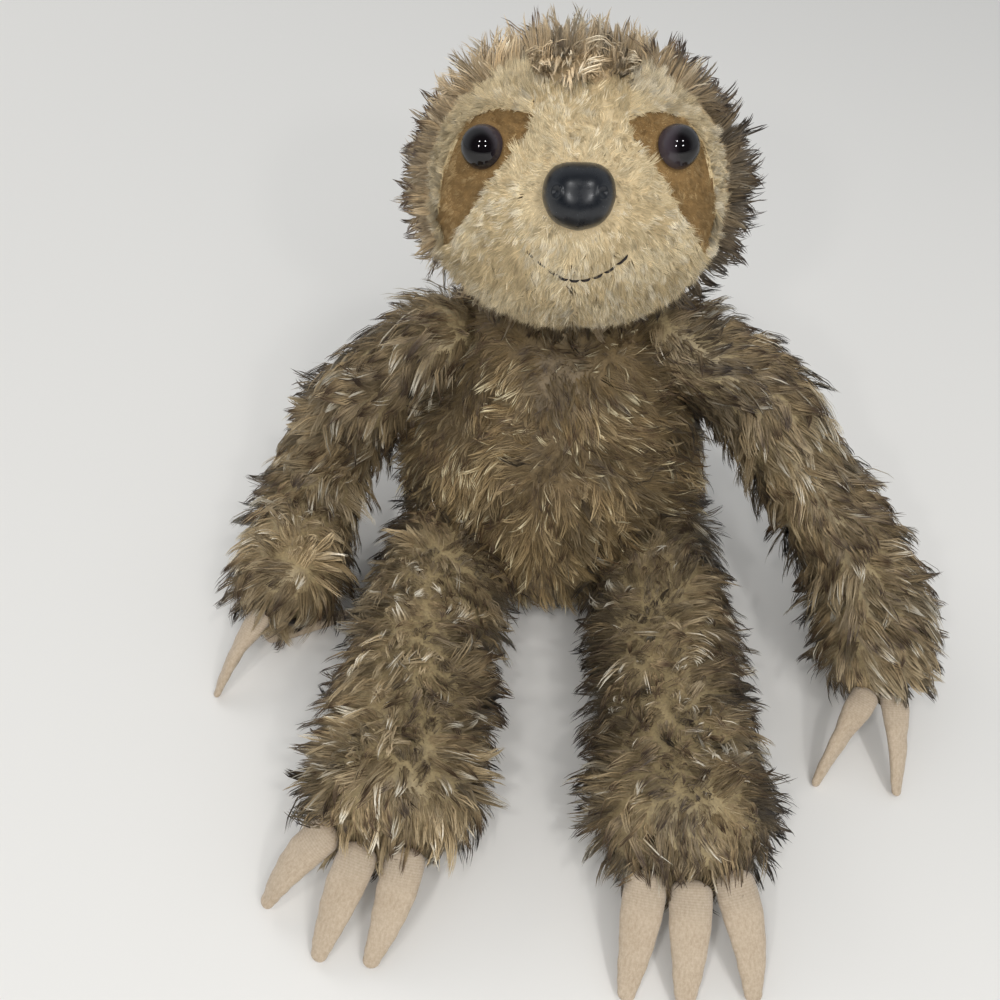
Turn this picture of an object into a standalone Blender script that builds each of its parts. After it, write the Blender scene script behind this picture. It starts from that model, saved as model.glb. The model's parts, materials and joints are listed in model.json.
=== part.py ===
"""A sitting plush sloth: fur skins over stuffing, a sewn face, safety eyes and nose, and fleece claws.

Units are metres and +Z is up. The toy sits on the floor at z = 0 and faces -Y, so its own left side is +X.
The origin is on the flat of the seat, under the middle of the body.
Every soft form starts from the surface of its backing cloth. The pile stands outside it, the stuffing fills it.
"""

import math

import bmesh
import bpy
from mathutils import Matrix, Vector

# Clearances
SEAM_GAP = 0.0003
STUFFING_GAP = 0.0008
JOINT_GAP = 0.0009
FLAT_DEPTH = 0.0005
CUT_OVERRUN = 0.010

# Cloth: the backing, and the pile that stands on it
BACKING = 0.0015
FUR_PILE = 0.0060
FACE_PILE = 0.0025
PATCH_PILE = 0.0015

# Body, measured over the backing
BODY_WIDTH = 0.126
BODY_FRONT = 0.065
BODY_BACK = 0.050
BODY_RISE = 0.098
BODY_DROP = 0.041
BODY_LEAN_SHARE = 0.10
BODY_LOWER_ROUNDNESS = 3.0
BODY_UPPER_ROUNDNESS = 1.75
SIDE_SEAM_BACK = 0.010
POUCH_HEIGHT = 0.014

# Head, measured over the backing from its middle
HEAD_WIDTH = 0.110
HEAD_FRONT = 0.038
HEAD_BACK = 0.045
HEAD_UP = 0.046
HEAD_DOWN = 0.048
HEAD_TILT = math.radians(15)
HEAD_TURN = math.radians(-2.5)
HEAD_ASIDE = 0.0035
HEAD_AHEAD = 0.025
HEAD_LIFT = 0.045
NECK_AHEAD = 0.010
NECK_DEPTH = 0.004
NECK_BALL_DIAMETER = 0.046
NECK_MOUTH_DIAMETER = 0.026
MUZZLE_BULGE = 0.007
MUZZLE_SPREAD = math.radians(28)
MUZZLE_DIP = math.radians(-12)

# Face: the outline of the pale cloth and the seams in it, as shares of its half sizes
FACE_WIDTH = 0.101
FACE_HEIGHT = 0.089
FACE_DROP = 0.0045
FACE_OUTLINE_SHARES = [
    (0.00, 1.00), (0.29, 1.00), (0.40, 1.03), (0.58, 0.95), (0.83, 0.73), (0.97, 0.45), (1.00, 0.15),
    (0.98, -0.13), (0.94, -0.36), (0.90, -0.60), (0.74, -0.83), (0.42, -0.97), (0.00, -1.00),
]
PATCH_INNER_SHARES = [(0.31, 0.80), (0.35, 0.66), (0.51, 0.44), (0.69, 0.12), (0.82, -0.12), (0.91, -0.30)]
PATCH_OUTER_SHARES = [(0.955, -0.04), (0.93, 0.20), (0.88, 0.42), (0.81, 0.60), (0.69, 0.745), (0.52, 0.815)]
BROW_REACH_SHARE = 1.35

# Safety eyes
EYE_DIAMETER = 0.015
EYE_DOME = 0.0080
EYE_TURN = math.radians(49)
EYE_LIFT = math.radians(27)
EYE_SHANK_DIAMETER = 0.0040
EYE_SHANK_LENGTH = 0.013
EYE_WASHER_DIAMETER = 0.012

# Safety nose
NOSE_WIDTH = 0.0230
NOSE_HEIGHT = 0.0210
NOSE_DOME = 0.0110
NOSE_LIFT = math.radians(11)
NOSE_SHANK_DIAMETER = 0.0050
NOSE_SHANK_LENGTH = 0.014
NOSE_WASHER_DIAMETER = 0.016
NOSTRIL_DIAMETER = 0.0034
NOSTRIL_SPACING = 0.0150
NOSTRIL_PLACE_SHARE = 0.80
NOSE_FLATNESS = 0.72
NOSE_SQUARENESS = 2.7
NOSE_TAPER_SHARE = 0.20
WASHER_THICKNESS = 0.0015
WASHER_SEAT = 0.0021

# Stitched mouth
MOUTH_TURN = math.radians(23)
MOUTH_END_DIP = math.radians(-13)
MOUTH_MIDDLE_DIP = math.radians(-25)
THREAD_DIAMETER = 0.0010
STITCH_COUNT = 9
STITCH_NECK_SHARE = 0.55

# Arms: the same length on both sides, each with its own bend. A path's first two shares are of the length,
# and the third is of the drop from the shoulder to the hand on the floor.
ARM_LENGTH = 0.168
ARM_RADIUS = 0.0160
SHOULDER_SPACING = 0.096
SHOULDER_HEIGHT = 0.110
SHOULDER_BALL_DIAMETER = 0.040
LEFT_ARM_PATH_SHARES = [
    (0.00, 0.00, 0.00), (0.22, -0.08, -0.228), (0.33, -0.21, -0.465), (0.425, -0.36, -0.655),
    (0.475, -0.49, -0.797), (0.485, -0.61, -0.921), (0.475, -0.675, -0.978),
]
RIGHT_ARM_PATH_SHARES = [
    (0.00, 0.00, 0.00), (-0.19, 0.00, -0.304), (-0.31, 0.01, -0.683), (-0.37, -0.15, -0.864),
    (-0.40, -0.31, -0.949), (-0.41, -0.44, -0.978),
]
ARM_GIRTH_SHARES = [(0.0, 0.95), (0.2, 1.0), (0.45, 0.98), (0.65, 0.95), (0.8, 1.05), (0.92, 1.08), (1.0, 1.02)]

# Legs. A path's third share is of the half height.
LEG_LENGTH = 0.160
LEG_HALF_WIDTH = 0.0220
LEG_HALF_HEIGHT = 0.0205
HIP_SPACING = 0.084
HIP_AHEAD = 0.038
HIP_BALL_DIAMETER = 0.050
LEFT_LEG_PATH_SHARES = [
    (0.00, 0.00, 0.156), (0.005, -0.26, 0.078), (0.005, -0.54, 0.00), (0.00, -0.80, 0.00), (0.00, -0.99, 0.00),
]
RIGHT_LEG_PATH_SHARES = [
    (0.00, 0.00, 0.156), (-0.065, -0.25, 0.078), (-0.105, -0.51, 0.00), (-0.127, -0.74, 0.00), (-0.140, -0.915, 0.00),
]
LEG_WIDTH_SHARES = [(0.0, 0.95), (0.2, 1.0), (0.45, 1.0), (0.65, 1.1), (0.85, 1.2), (1.0, 1.12)]
LEG_HEIGHT_SHARES = [(0.0, 0.95), (0.2, 1.0), (0.6, 1.0), (0.85, 1.04), (1.0, 0.96)]
LIMB_CAP_SHARE = 0.95
LIMB_CAP_ANGLES = (25, 45, 62, 76, 86)
LIMB_END_SHARE = 0.85
MOUTH_DIAMETER = 0.016

# Claws: length from the hinge at the root, width and thickness at the widest
FOOT_CLAW_LENGTH = 0.040
FOOT_CLAW_WIDTH = 0.0150
FOOT_CLAW_THICKNESS = 0.0085
HAND_CLAW_LENGTH = 0.038
HAND_CLAW_WIDTH = 0.0110
HAND_CLAW_THICKNESS = 0.0070
CLAW_STANDOFF = 0.0012
CLAW_CLEARANCE = 0.0005
CLAW_ARCH_SHARE = 0.07
CLAW_TIP_LIFT = 0.0008
CLAW_ROOT_ANGLES = (70, 45, 20)
CLAW_WIDTH_SHARES = [(0.0, 0.86), (0.12, 0.95), (0.28, 0.98), (0.5, 0.86), (0.7, 0.69), (0.88, 0.50), (1.0, 0.33)]
CLAW_THICKNESS_SHARES = [(0.0, 1.0), (0.25, 1.0), (0.5, 0.80), (0.8, 0.56), (1.0, 0.34)]
FOOT_CLAW_SPACING = 0.0152
HAND_CLAW_SPACING = 0.0115

# Where each claw is sewn along the limb's end, as a share of the spacing, and its splay in degrees
LEFT_FOOT_CLAW_SHARES = {"inner": (-1.0, -13), "middle": (0.0, -6), "outer": (1.0, 16)}
RIGHT_FOOT_CLAW_SHARES = {"inner": (0.48, -8), "middle": (-0.62, -19), "outer": (-1.50, -52)}
LEFT_HAND_CLAW_SHARES = {"inner": (-0.5, -36), "outer": (0.5, 0)}
RIGHT_HAND_CLAW_SHARES = {"outer": (-0.75, -31)}
TUCKED_CLAW_SPLAY = 112
TUCKED_CLAW_PLACE_SHARES = (-0.75, -0.25)

# How far each joint moves, in degrees, at the steps where its room is cut. More is up for what points forward.
NECK_STEPS = (-15, -7, 0, 7, 15)
SHOULDER_STEPS = (-20, -10, 0, 15, 30, 45, 60, 75)
HIP_STEPS = (-30, -15, 0, 12, 25)
TUCKED_CLAW_STEPS = (0, -12, -24, -36)

# Mesh fineness: points round a form and rings along it, for outer surfaces and for inner ones
FORM_AROUND, FORM_RINGS = 26, 15
CORE_AROUND, CORE_RINGS = 15, 10
ROOM_AROUND, ROOM_RINGS = 26, 12
LIMB_AROUND, LIMB_RINGS = 16, 14
LIMB_CORE_AROUND, LIMB_CORE_RINGS = 10, 10
CLAW_AROUND, CLAW_RINGS = 10, 7
POINTS_TO_A_STITCH = 3
BALL_AROUND = 18
PATH_STEPS = 8
OUTLINE_STEPS = 2
EYE_AROUND, NOSE_AROUND = 24, 28
EYE_RINGS, NOSE_RINGS = 6, 7
NOSTRIL_AROUND, NOSTRIL_RINGS = 10, 6
THREAD_AROUND = 6
SHANK_AROUND = 20
SURFACE_STEP = math.radians(2)
SHARP_ANGLE = math.radians(40)

# The exact solver leaves the thin face cloths empty at some fineness, so they are cut with the other one
FACE_SOLVER = "MANIFOLD"

# Places that follow from the sizes
FLOOR_LIFT = FUR_PILE - FLAT_DEPTH
BODY_LEVEL = BODY_DROP + FLOOR_LIFT
BODY_TOP = BODY_LEVEL + BODY_RISE
HEAD_MIDDLE = Vector((HEAD_ASIDE, BODY_LEAN_SHARE * BODY_RISE - HEAD_AHEAD, BODY_TOP + HEAD_LIFT))
HEAD_FRAME = (
    Matrix.Translation(HEAD_MIDDLE) @ Matrix.Rotation(HEAD_TURN, 4, "Z") @ Matrix.Rotation(-HEAD_TILT, 4, "X")
)
NECK_PIVOT = Vector((0, BODY_LEAN_SHARE * BODY_RISE - NECK_AHEAD, BODY_TOP - NECK_DEPTH))
LEG_LEVEL = LEG_HALF_HEIGHT + FLOOR_LIFT
ARM_LEVEL = ARM_RADIUS + FLOOR_LIFT

COLOURS = {
    "fur": (0.115, 0.075, 0.042, 0.85, 0.0),
    "face_plush": (0.52, 0.35, 0.19, 0.90, 0.0),
    "patch_velour": (0.16, 0.085, 0.035, 0.90, 0.0),
    "claw_fleece": (0.56, 0.43, 0.30, 0.90, 0.0),
    "black_plastic": (0.010, 0.010, 0.012, 0.15, 0.0),
    "washer_plastic": (0.70, 0.70, 0.68, 0.40, 0.0),
    "thread": (0.015, 0.012, 0.010, 0.60, 0.0),
    "fibre_fill": (0.80, 0.80, 0.78, 0.95, 0.0),
    "pouch_cloth": (0.62, 0.60, 0.55, 0.90, 0.0),
}


def clear_scene():
    for thing in list(bpy.data.objects):
        bpy.data.objects.remove(thing)


def material(slot):
    """A Principled material with the slot's colour, roughness and metallic value."""
    red, green, blue, roughness, metallic = COLOURS[slot]
    made = bpy.data.materials.new(slot)
    made.use_nodes = True
    shader = made.node_tree.nodes["Principled BSDF"]
    shader.inputs["Base Color"].default_value = (red, green, blue, 1)
    shader.inputs["Roughness"].default_value = roughness
    shader.inputs["Metallic"].default_value = metallic
    return made


def table_value(table, where):
    """Reads a table of (place, value) shares at a place, on a smooth curve through its points."""
    for (low, low_value), (high, high_value) in zip(table, table[1:]):
        if where <= high:
            step = (where - low) / (high - low)
            step = step * step * (3 - 2 * step)
            return low_value + (high_value - low_value) * step
    return table[-1][1]


def smooth_path(points, steps):
    """Points along a Catmull-Rom curve through the given points, steps to each stretch."""
    ends = [points[0] * 2 - points[1]] + list(points) + [points[-1] * 2 - points[-2]]
    path = []
    for first, second, third, fourth in zip(ends, ends[1:], ends[2:], ends[3:]):
        for step in range(steps):
            t = step / steps
            path.append(
                (second * 2 + (third - first) * t
                 + (first * 2 - second * 5 + third * 4 - fourth) * t ** 2
                 + (second * 3 - first - third * 3 + fourth) * t ** 3) / 2
            )
    return path + [points[-1]]


def new_object(name, mesh_data, parent=None):
    """Turns a bmesh into an object with outward faces."""
    bmesh.ops.recalc_face_normals(mesh_data, faces=mesh_data.faces)
    mesh = bpy.data.meshes.new(name)
    mesh_data.to_mesh(mesh)
    mesh_data.free()
    thing = bpy.data.objects.new(name, mesh)
    bpy.context.scene.collection.objects.link(thing)
    thing.parent = parent
    return thing


def ringed_form(name, rings, start=None, end=None):
    """A closed form through rings of points. A missing end point gives that end a flat cap."""
    made = bmesh.new()
    loops = [[made.verts.new(point) for point in ring] for ring in rings]
    count = len(loops[0])
    for lower, upper in zip(loops, loops[1:]):
        for i in range(count):
            made.faces.new((lower[i], lower[(i + 1) % count], upper[(i + 1) % count], upper[i]))
    for loop, pole in ((loops[0], start), (loops[-1], end)):
        if pole is None:
            made.faces.new(loop)
            continue
        tip = made.verts.new(pole)
        for i in range(count):
            made.faces.new((loop[i], loop[(i + 1) % count], tip))
    return new_object(name, made)


def body_form(name, offset, around, rings):
    """The body's egg shape, its surface moved out from the backing by the offset."""
    def place(turn, rise):
        lower = rise < math.pi / 2
        power = 2 / (BODY_LOWER_ROUNDNESS if lower else BODY_UPPER_ROUNDNESS)
        level = (BODY_DROP if lower else BODY_RISE) + offset
        height = math.copysign(abs(math.cos(rise)) ** power, -math.cos(rise)) * level
        spread = math.sin(rise) ** power
        depth = (BODY_FRONT if math.sin(turn) < 0 else BODY_BACK) + offset
        return Vector((
            (BODY_WIDTH / 2 + offset) * spread * math.cos(turn),
            depth * spread * math.sin(turn) + BODY_LEAN_SHARE * height,
            BODY_LEVEL + height,
        ))

    turns = [2 * math.pi * i / around for i in range(around)]
    rises = [math.pi * (j + 1) / (rings + 1) for j in range(rings)]
    return ringed_form(name, [[place(t, r) for t in turns] for r in rises], place(0, 0), place(0, math.pi))


def head_reach(turn, lift):
    """The distance from the head's middle to its backing, towards a turn from the front and a lift."""
    side = math.sin(turn) * math.cos(lift)
    front = math.cos(turn) * math.cos(lift)
    up = math.sin(lift)
    reach = 1 / math.sqrt(
        (side / (HEAD_WIDTH / 2)) ** 2
        + (front / (HEAD_FRONT if front > 0 else HEAD_BACK)) ** 2
        + (up / (HEAD_UP if up > 0 else HEAD_DOWN)) ** 2
    )
    toward_muzzle = front * math.cos(MUZZLE_DIP) + up * math.sin(MUZZLE_DIP)
    angle = math.acos(max(-1.0, min(1.0, toward_muzzle)))
    return reach + MUZZLE_BULGE * math.exp(-((angle / MUZZLE_SPREAD) ** 2) / 2)


def head_place(turn, lift, offset):
    """A point of the head's surface, in the world."""
    reach = head_reach(turn, lift) + offset
    return HEAD_FRAME @ Vector((
        reach * math.sin(turn) * math.cos(lift),
        -reach * math.cos(turn) * math.cos(lift),
        reach * math.sin(lift),
    ))


def head_frame_at(turn, lift, offset):
    """A frame on the head's surface: its Z axis stands square to the surface, its Y axis leans up."""
    step = SURFACE_STEP
    across = head_place(turn + step, lift, offset) - head_place(turn - step, lift, offset)
    upward = head_place(turn, lift + step, offset) - head_place(turn, lift - step, offset)
    normal = across.cross(upward).normalized()
    side = upward.cross(normal).normalized()
    turned = Matrix((side, normal.cross(side), normal)).transposed().to_4x4()
    return Matrix.Translation(head_place(turn, lift, offset)) @ turned


def head_form(name, offset, around, rings):
    turns = [2 * math.pi * i / around for i in range(around)]
    lifts = [math.pi * (j + 1) / (rings + 1) - math.pi / 2 for j in range(rings)]
    poles = [head_place(0, lift, offset) for lift in (-math.pi / 2, math.pi / 2)]
    return ringed_form(name, [[head_place(t, lift, offset) for t in turns] for lift in lifts], *poles)


def tube_form(name, path, half_width, half_height, around, end=None, side=None):
    """A tube of oval rings along a path. Each half size is a list, one value to a point of the path."""
    across = side or (path[1] - path[0]).cross(Vector((0, 0, 1))).normalized()
    rings = []
    for i, middle in enumerate(path):
        ahead = (path[min(i + 1, len(path) - 1)] - path[max(i - 1, 0)]).normalized()
        across = (across - ahead * across.dot(ahead)).normalized()
        upward = across.cross(ahead)
        rings.append([
            middle
            + across * (half_width[i] * math.cos(2 * math.pi * k / around))
            + upward * (half_height[i] * math.sin(2 * math.pi * k / around))
            for k in range(around)
        ])
    return ringed_form(name, rings, end=end)


class Limb:
    """An arm or a leg: a tube along its own path, with a domed end."""

    def __init__(self, name, root, ball, length, drop, path_shares, width_shares, height_shares, half_width,
                 half_height):
        self.name = name
        self.root = root
        self.ball = ball
        self.width_shares = width_shares
        self.height_shares = height_shares
        self.half_width = half_width
        self.half_height = half_height
        floor_level = half_height + FLOOR_LIFT
        self.path = [root + Vector((x * length, y * length, z * drop)) for x, y, z in path_shares]
        for point in self.path:
            point.z = max(point.z, floor_level)
        self.line = smooth_path(self.path, PATH_STEPS)
        self.distance = [0.0]
        for before, after in zip(self.line, self.line[1:]):
            self.distance.append(self.distance[-1] + (after - before).length)

    def place(self, share):
        """The point of the middle line at a share of its length."""
        goal = share * self.distance[-1]
        for i in range(1, len(self.line)):
            if self.distance[i] >= goal:
                step = (goal - self.distance[i - 1]) / (self.distance[i] - self.distance[i - 1])
                return self.line[i - 1].lerp(self.line[i], step)
        return self.line[-1].copy()

    def heading(self):
        """The way the limb points at its end, level with the floor."""
        ahead = self.line[-1] - self.place(LIMB_END_SHARE)
        ahead.z = 0
        return ahead.normalized()

    def form(self, name, offset, around, rings):
        """The limb's closed form, its surface moved out from the backing by the offset."""
        cap = self.half_height * LIMB_CAP_SHARE
        straight = rings - len(LIMB_CAP_ANGLES)
        shares = [i / (straight - 1) * (1 - cap / self.distance[-1]) for i in range(straight)]
        path = [self.place(share) for share in shares]
        widths = [self.half_width * table_value(self.width_shares, share) + offset for share in shares]
        heights = [self.half_height * table_value(self.height_shares, share) + offset for share in shares]
        ahead = (self.line[-1] - path[-1]).normalized()
        base = path[-1]
        for angle in LIMB_CAP_ANGLES:
            turn = math.radians(angle)
            path.append(base + ahead * ((cap + offset) * math.sin(turn)))
            widths.append(widths[straight - 1] * math.cos(turn))
            heights.append(heights[straight - 1] * math.cos(turn))
        return tube_form(name, path, widths, heights, around, end=base + ahead * (cap + offset))


def combine(target, cutter, operation, solver="EXACT"):
    """A Boolean on the target, applied. The cutter goes."""
    step = target.modifiers.new(operation.lower(), "BOOLEAN")
    step.operation = operation
    step.object = cutter
    step.solver = solver
    with bpy.context.temp_override(object=target, active_object=target):
        bpy.ops.object.modifier_apply(modifier=step.name)
    bpy.data.objects.remove(cutter)
    return target


def box(name, low, high):
    made = bmesh.new()
    bmesh.ops.create_cube(made, size=1)
    size = high - low
    bmesh.ops.scale(made, vec=size, verts=made.verts)
    bmesh.ops.translate(made, vec=(low + high) / 2, verts=made.verts)
    return new_object(name, made)


def cylinder(name, frame, radius, low, high, around=SHANK_AROUND):
    """A closed cylinder on the Z axis of a frame, from one height to another."""
    turns = [2 * math.pi * k / around for k in range(around)]
    rings = [
        [frame @ Vector((radius * math.cos(turn), radius * math.sin(turn), level)) for turn in turns]
        for level in (low, high)
    ]
    return ringed_form(name, rings)


def floor_cutter():
    reach = BODY_WIDTH + ARM_LENGTH + LEG_LENGTH
    return box("floor_cutter", Vector((-reach, -reach, -reach)), Vector((reach, reach, 0)))


def swept_room(name, forms, pivot, steps, axis):
    """The convex room that the forms fill as they turn about a line through the pivot. The forms go."""
    made = bmesh.new()
    for form in forms:
        for angle in steps:
            turn = Matrix.Rotation(math.radians(angle), 4, axis)
            turn = Matrix.Translation(pivot) @ turn @ Matrix.Translation(-pivot)
            for vertex in form.data.vertices:
                made.verts.new(turn @ vertex.co)
        bpy.data.objects.remove(form)
    hull = bmesh.ops.convex_hull(made, input=made.verts)
    inner = [item for item in hull["geom_interior"] if isinstance(item, bmesh.types.BMVert)]
    bmesh.ops.delete(made, geom=inner, context="VERTS")
    return new_object(name, made)


def clear_of_body(thing, pivot, steps, wall=0.0):
    """Cuts away what would press into the body at any step of the joint, whose axis is -X, and a wall more."""
    body = body_form("body_room", FUR_PILE + JOINT_GAP + wall, ROOM_AROUND, ROOM_RINGS)
    return combine(thing, swept_room("joint_room", [body], pivot, steps, "X"), "DIFFERENCE")


def ball(name, middle, radius):
    made = bmesh.new()
    bmesh.ops.create_uvsphere(made, u_segments=BALL_AROUND, v_segments=BALL_AROUND // 2, radius=radius)
    bmesh.ops.translate(made, vec=middle, verts=made.verts)
    return new_object(name, made)


def add_ball_root(outer, cavity, pivot, diameter, mouth_diameter, inward):
    """Puts a ball round the joint on a form, and a mouth through it where the stuffing goes in."""
    combine(outer, ball("ball", pivot, diameter / 2), "UNION")
    turned = inward.to_track_quat("Z", "Y").to_matrix().to_4x4()
    frame = Matrix.Translation(pivot) @ turned
    combine(cavity, cylinder("mouth", frame, mouth_diameter / 2, -diameter, diameter), "UNION")


def cut_sockets(thing, clearance):
    """The round seats in the body for the balls of the neck, the shoulders and the hips."""
    seats = [(NECK_PIVOT, NECK_BALL_DIAMETER)]
    for sign in (-1, 1):
        seats.append((Vector((sign * SHOULDER_SPACING / 2, 0, SHOULDER_HEIGHT)), SHOULDER_BALL_DIAMETER))
        seats.append((Vector((sign * HIP_SPACING / 2, -HIP_AHEAD, LEG_LEVEL)), HIP_BALL_DIAMETER))
    for middle, diameter in seats:
        combine(thing, ball("socket", middle, diameter / 2 + clearance), "DIFFERENCE")


def finish(thing, name, slot, body, origin=None):
    """Names a finished piece, gives it its material and puts its origin on its joint's axis."""
    thing.name = name
    thing.data.name = name
    thing.data.materials.clear()
    thing.data.materials.append(material(slot))
    thing.data.shade_smooth()
    thing.data.set_sharp_from_angle(angle=SHARP_ANGLE)
    if origin is not None:
        thing.data.transform(Matrix.Translation(-origin))
    thing.parent = body
    return thing


def empty(name, frame, parent=None):
    """An empty with its parent and its place in the parent's frame."""
    made = bpy.data.objects.new(name, None)
    made.parent = parent
    made.matrix_local = frame
    bpy.context.scene.collection.objects.link(made)
    return made


def outline_prism(name, outline, grow, back=SEAM_GAP):
    """A prism with the outline's shape, moved outwards by grow. It runs forward from a depth in the head."""
    half = Vector((FACE_WIDTH / 2, FACE_HEIGHT / 2))
    flat = [Vector((x * half.x, z * half.y)) for x, z in outline]
    count = len(flat)
    area = sum(flat[i].x * flat[(i + 1) % count].y - flat[(i + 1) % count].x * flat[i].y for i in range(count))
    moved = []
    for i in range(count):
        along = (flat[(i + 1) % count] - flat[i - 1]).normalized()
        outward = Vector((along.y, -along.x)) * (1 if area > 0 else -1)
        moved.append(flat[i] + outward * grow)
    depth = HEAD_FRONT + MUZZLE_BULGE + FUR_PILE + CUT_OVERRUN
    rings = [
        [HEAD_FRAME @ Vector((p.x, -level, p.y - FACE_DROP)) for p in moved]
        for level in (back, depth)
    ]
    return ringed_form(name, rings)


def smooth_outline(points):
    """Rounds an outline given by its corner points."""
    flat = [Vector((x, z, 0)) for x, z in points]
    return [(p.x, p.y) for p in smooth_path(flat, OUTLINE_STEPS)]


def face_outline():
    side = smooth_outline(FACE_OUTLINE_SHARES)
    return side + [(-x, z) for x, z in reversed(side[1:-1])]


def patch_outline(sign):
    ring = smooth_outline(PATCH_INNER_SHARES) + smooth_outline(PATCH_OUTER_SHARES)
    return [(sign * x, z) for x, z in ring]


def brow_outline(sign):
    """The patch and the brow round it: everything outside the seam of the muzzle cloth."""
    inner = smooth_outline(PATCH_INNER_SHARES)
    top_x, end_z = inner[0][0], inner[-1][1]
    reach = BROW_REACH_SHARE
    ring = inner + [(reach, end_z), (reach, reach), (top_x, reach)]
    return [(sign * x, z) for x, z in ring]


def head_shell(name, pile):
    """The head's cloth as a shell: its pile outside and its backing inside."""
    outer = head_form(name, pile, FORM_AROUND, FORM_RINGS)
    inner = head_form(name + "_inner", -BACKING, CORE_AROUND, CORE_RINGS)
    return combine(outer, inner, "DIFFERENCE")


def fastening(prefix, frame, shank_radius, shank_length, washer_radius, base_depth):
    """The shank's hole, the washer behind the cloth and the pocket in the stuffing for both."""
    washer_top = -base_depth - BACKING - WASHER_SEAT
    washer_low = washer_top - WASHER_THICKNESS
    hole_radius = shank_radius + SEAM_GAP
    hole = cylinder(prefix + "_hole", frame, hole_radius, -shank_length - CUT_OVERRUN, CUT_OVERRUN)
    washer = cylinder(prefix + "_washer", frame, washer_radius, washer_low, washer_top)
    bore = cylinder(prefix + "_bore", frame, hole_radius, washer_low - CUT_OVERRUN, washer_top + CUT_OVERRUN)
    combine(washer, bore, "DIFFERENCE")
    pocket_radius = washer_radius + SEAM_GAP * 2
    pocket = cylinder(prefix + "_pocket", frame, pocket_radius, -shank_length - SEAM_GAP * 2, CUT_OVERRUN)
    return hole, washer, pocket


def dome(name, frame, outline, height, flatness, rings):
    """A dome over an outline of radii, one radius to each direction, with its flat base on the frame's XY plane."""
    count = len(outline)
    levels = []
    for j in range(rings):
        turn = math.pi / 2 * j / rings
        spread = math.cos(turn) ** flatness
        levels.append([
            frame @ Vector((
                outline[k] * spread * math.cos(2 * math.pi * k / count),
                outline[k] * spread * math.sin(2 * math.pi * k / count),
                height * math.sin(turn),
            ))
            for k in range(count)
        ])
    return ringed_form(name, levels, end=frame @ Vector((0, 0, height)))


def make_eyes(head_body):
    """Two glossy domes on the eye patches, each with a shank and a washer behind the cloth."""
    holes, pockets = [], []
    for side, sign in (("left", 1), ("right", -1)):
        frame = head_frame_at(sign * EYE_TURN, EYE_LIFT, PATCH_PILE + SEAM_GAP)
        eye = dome(side + "_eye", frame, [EYE_DIAMETER / 2] * EYE_AROUND, EYE_DOME, 1, EYE_RINGS)
        shank = cylinder(side + "_shank", frame, EYE_SHANK_DIAMETER / 2, -EYE_SHANK_LENGTH, EYE_DOME / 2)
        combine(eye, shank, "UNION")
        hole, washer, pocket = fastening(
            side + "_eye", frame, EYE_SHANK_DIAMETER / 2, EYE_SHANK_LENGTH, EYE_WASHER_DIAMETER / 2,
            PATCH_PILE + SEAM_GAP,
        )
        finish(eye, side + "_safety_eye", "black_plastic", head_body, NECK_PIVOT)
        finish(washer, side + "_eye_washer", "washer_plastic", head_body, NECK_PIVOT)
        holes.append(hole)
        pockets.append(pocket)
    return holes, pockets


def make_nose(head_body):
    """A rounded nose, broad above and narrower below, with two nostrils, a shank and a washer."""
    frame = head_frame_at(0, NOSE_LIFT, FACE_PILE + SEAM_GAP)
    outline = []
    for k in range(NOSE_AROUND):
        turn = 2 * math.pi * k / NOSE_AROUND
        across, upward = math.cos(turn), math.sin(turn)
        squared = (abs(across) ** NOSE_SQUARENESS + abs(upward) ** NOSE_SQUARENESS) ** (-1 / NOSE_SQUARENESS)
        half = NOSE_WIDTH / 2 * across ** 2 + NOSE_HEIGHT / 2 * upward ** 2
        taper = 1 - NOSE_TAPER_SHARE * max(0, -upward) * abs(across)
        outline.append(half * squared * taper)
    nose = dome("nose", frame, outline, NOSE_DOME, NOSE_FLATNESS, NOSE_RINGS)
    for sign in (-1, 1):
        pit = bmesh.new()
        bmesh.ops.create_uvsphere(
            pit, u_segments=NOSTRIL_AROUND, v_segments=NOSTRIL_RINGS, radius=NOSTRIL_DIAMETER / 2
        )
        middle = Vector((sign * NOSTRIL_SPACING / 2, 0, NOSE_DOME * NOSTRIL_PLACE_SHARE))
        bmesh.ops.transform(pit, matrix=frame @ Matrix.Translation(middle), verts=pit.verts)
        combine(nose, new_object("nostril", pit), "DIFFERENCE")
    shank = cylinder("nose_shank", frame, NOSE_SHANK_DIAMETER / 2, -NOSE_SHANK_LENGTH, NOSE_DOME / 2)
    combine(nose, shank, "UNION")
    hole, washer, pocket = fastening(
        "nose", frame, NOSE_SHANK_DIAMETER / 2, NOSE_SHANK_LENGTH, NOSE_WASHER_DIAMETER / 2, FACE_PILE + SEAM_GAP,
    )
    finish(nose, "safety_nose", "black_plastic", head_body, NECK_PIVOT)
    finish(washer, "nose_washer", "washer_plastic", head_body, NECK_PIVOT)
    return hole, pocket


def make_mouth(head_body):
    """A smile in backstitch on the muzzle: one thread, drawn in where each stitch meets the next."""
    path, radii = [], []
    points = STITCH_COUNT * POINTS_TO_A_STITCH
    lift = FACE_PILE + SEAM_GAP + THREAD_DIAMETER / 2
    for point in range(points + 1):
        share = point / points * 2 - 1
        dip = MOUTH_MIDDLE_DIP + (MOUTH_END_DIP - MOUTH_MIDDLE_DIP) * share ** 2
        path.append(head_place(share * MOUTH_TURN, dip, lift))
        radii.append(THREAD_DIAMETER / 2 * (STITCH_NECK_SHARE if point % POINTS_TO_A_STITCH == 0 else 1))
    thread = tube_form("mouth", path, radii, radii, THREAD_AROUND)
    finish(thread, "mouth_stitching", "thread", head_body, NECK_PIVOT)


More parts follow.
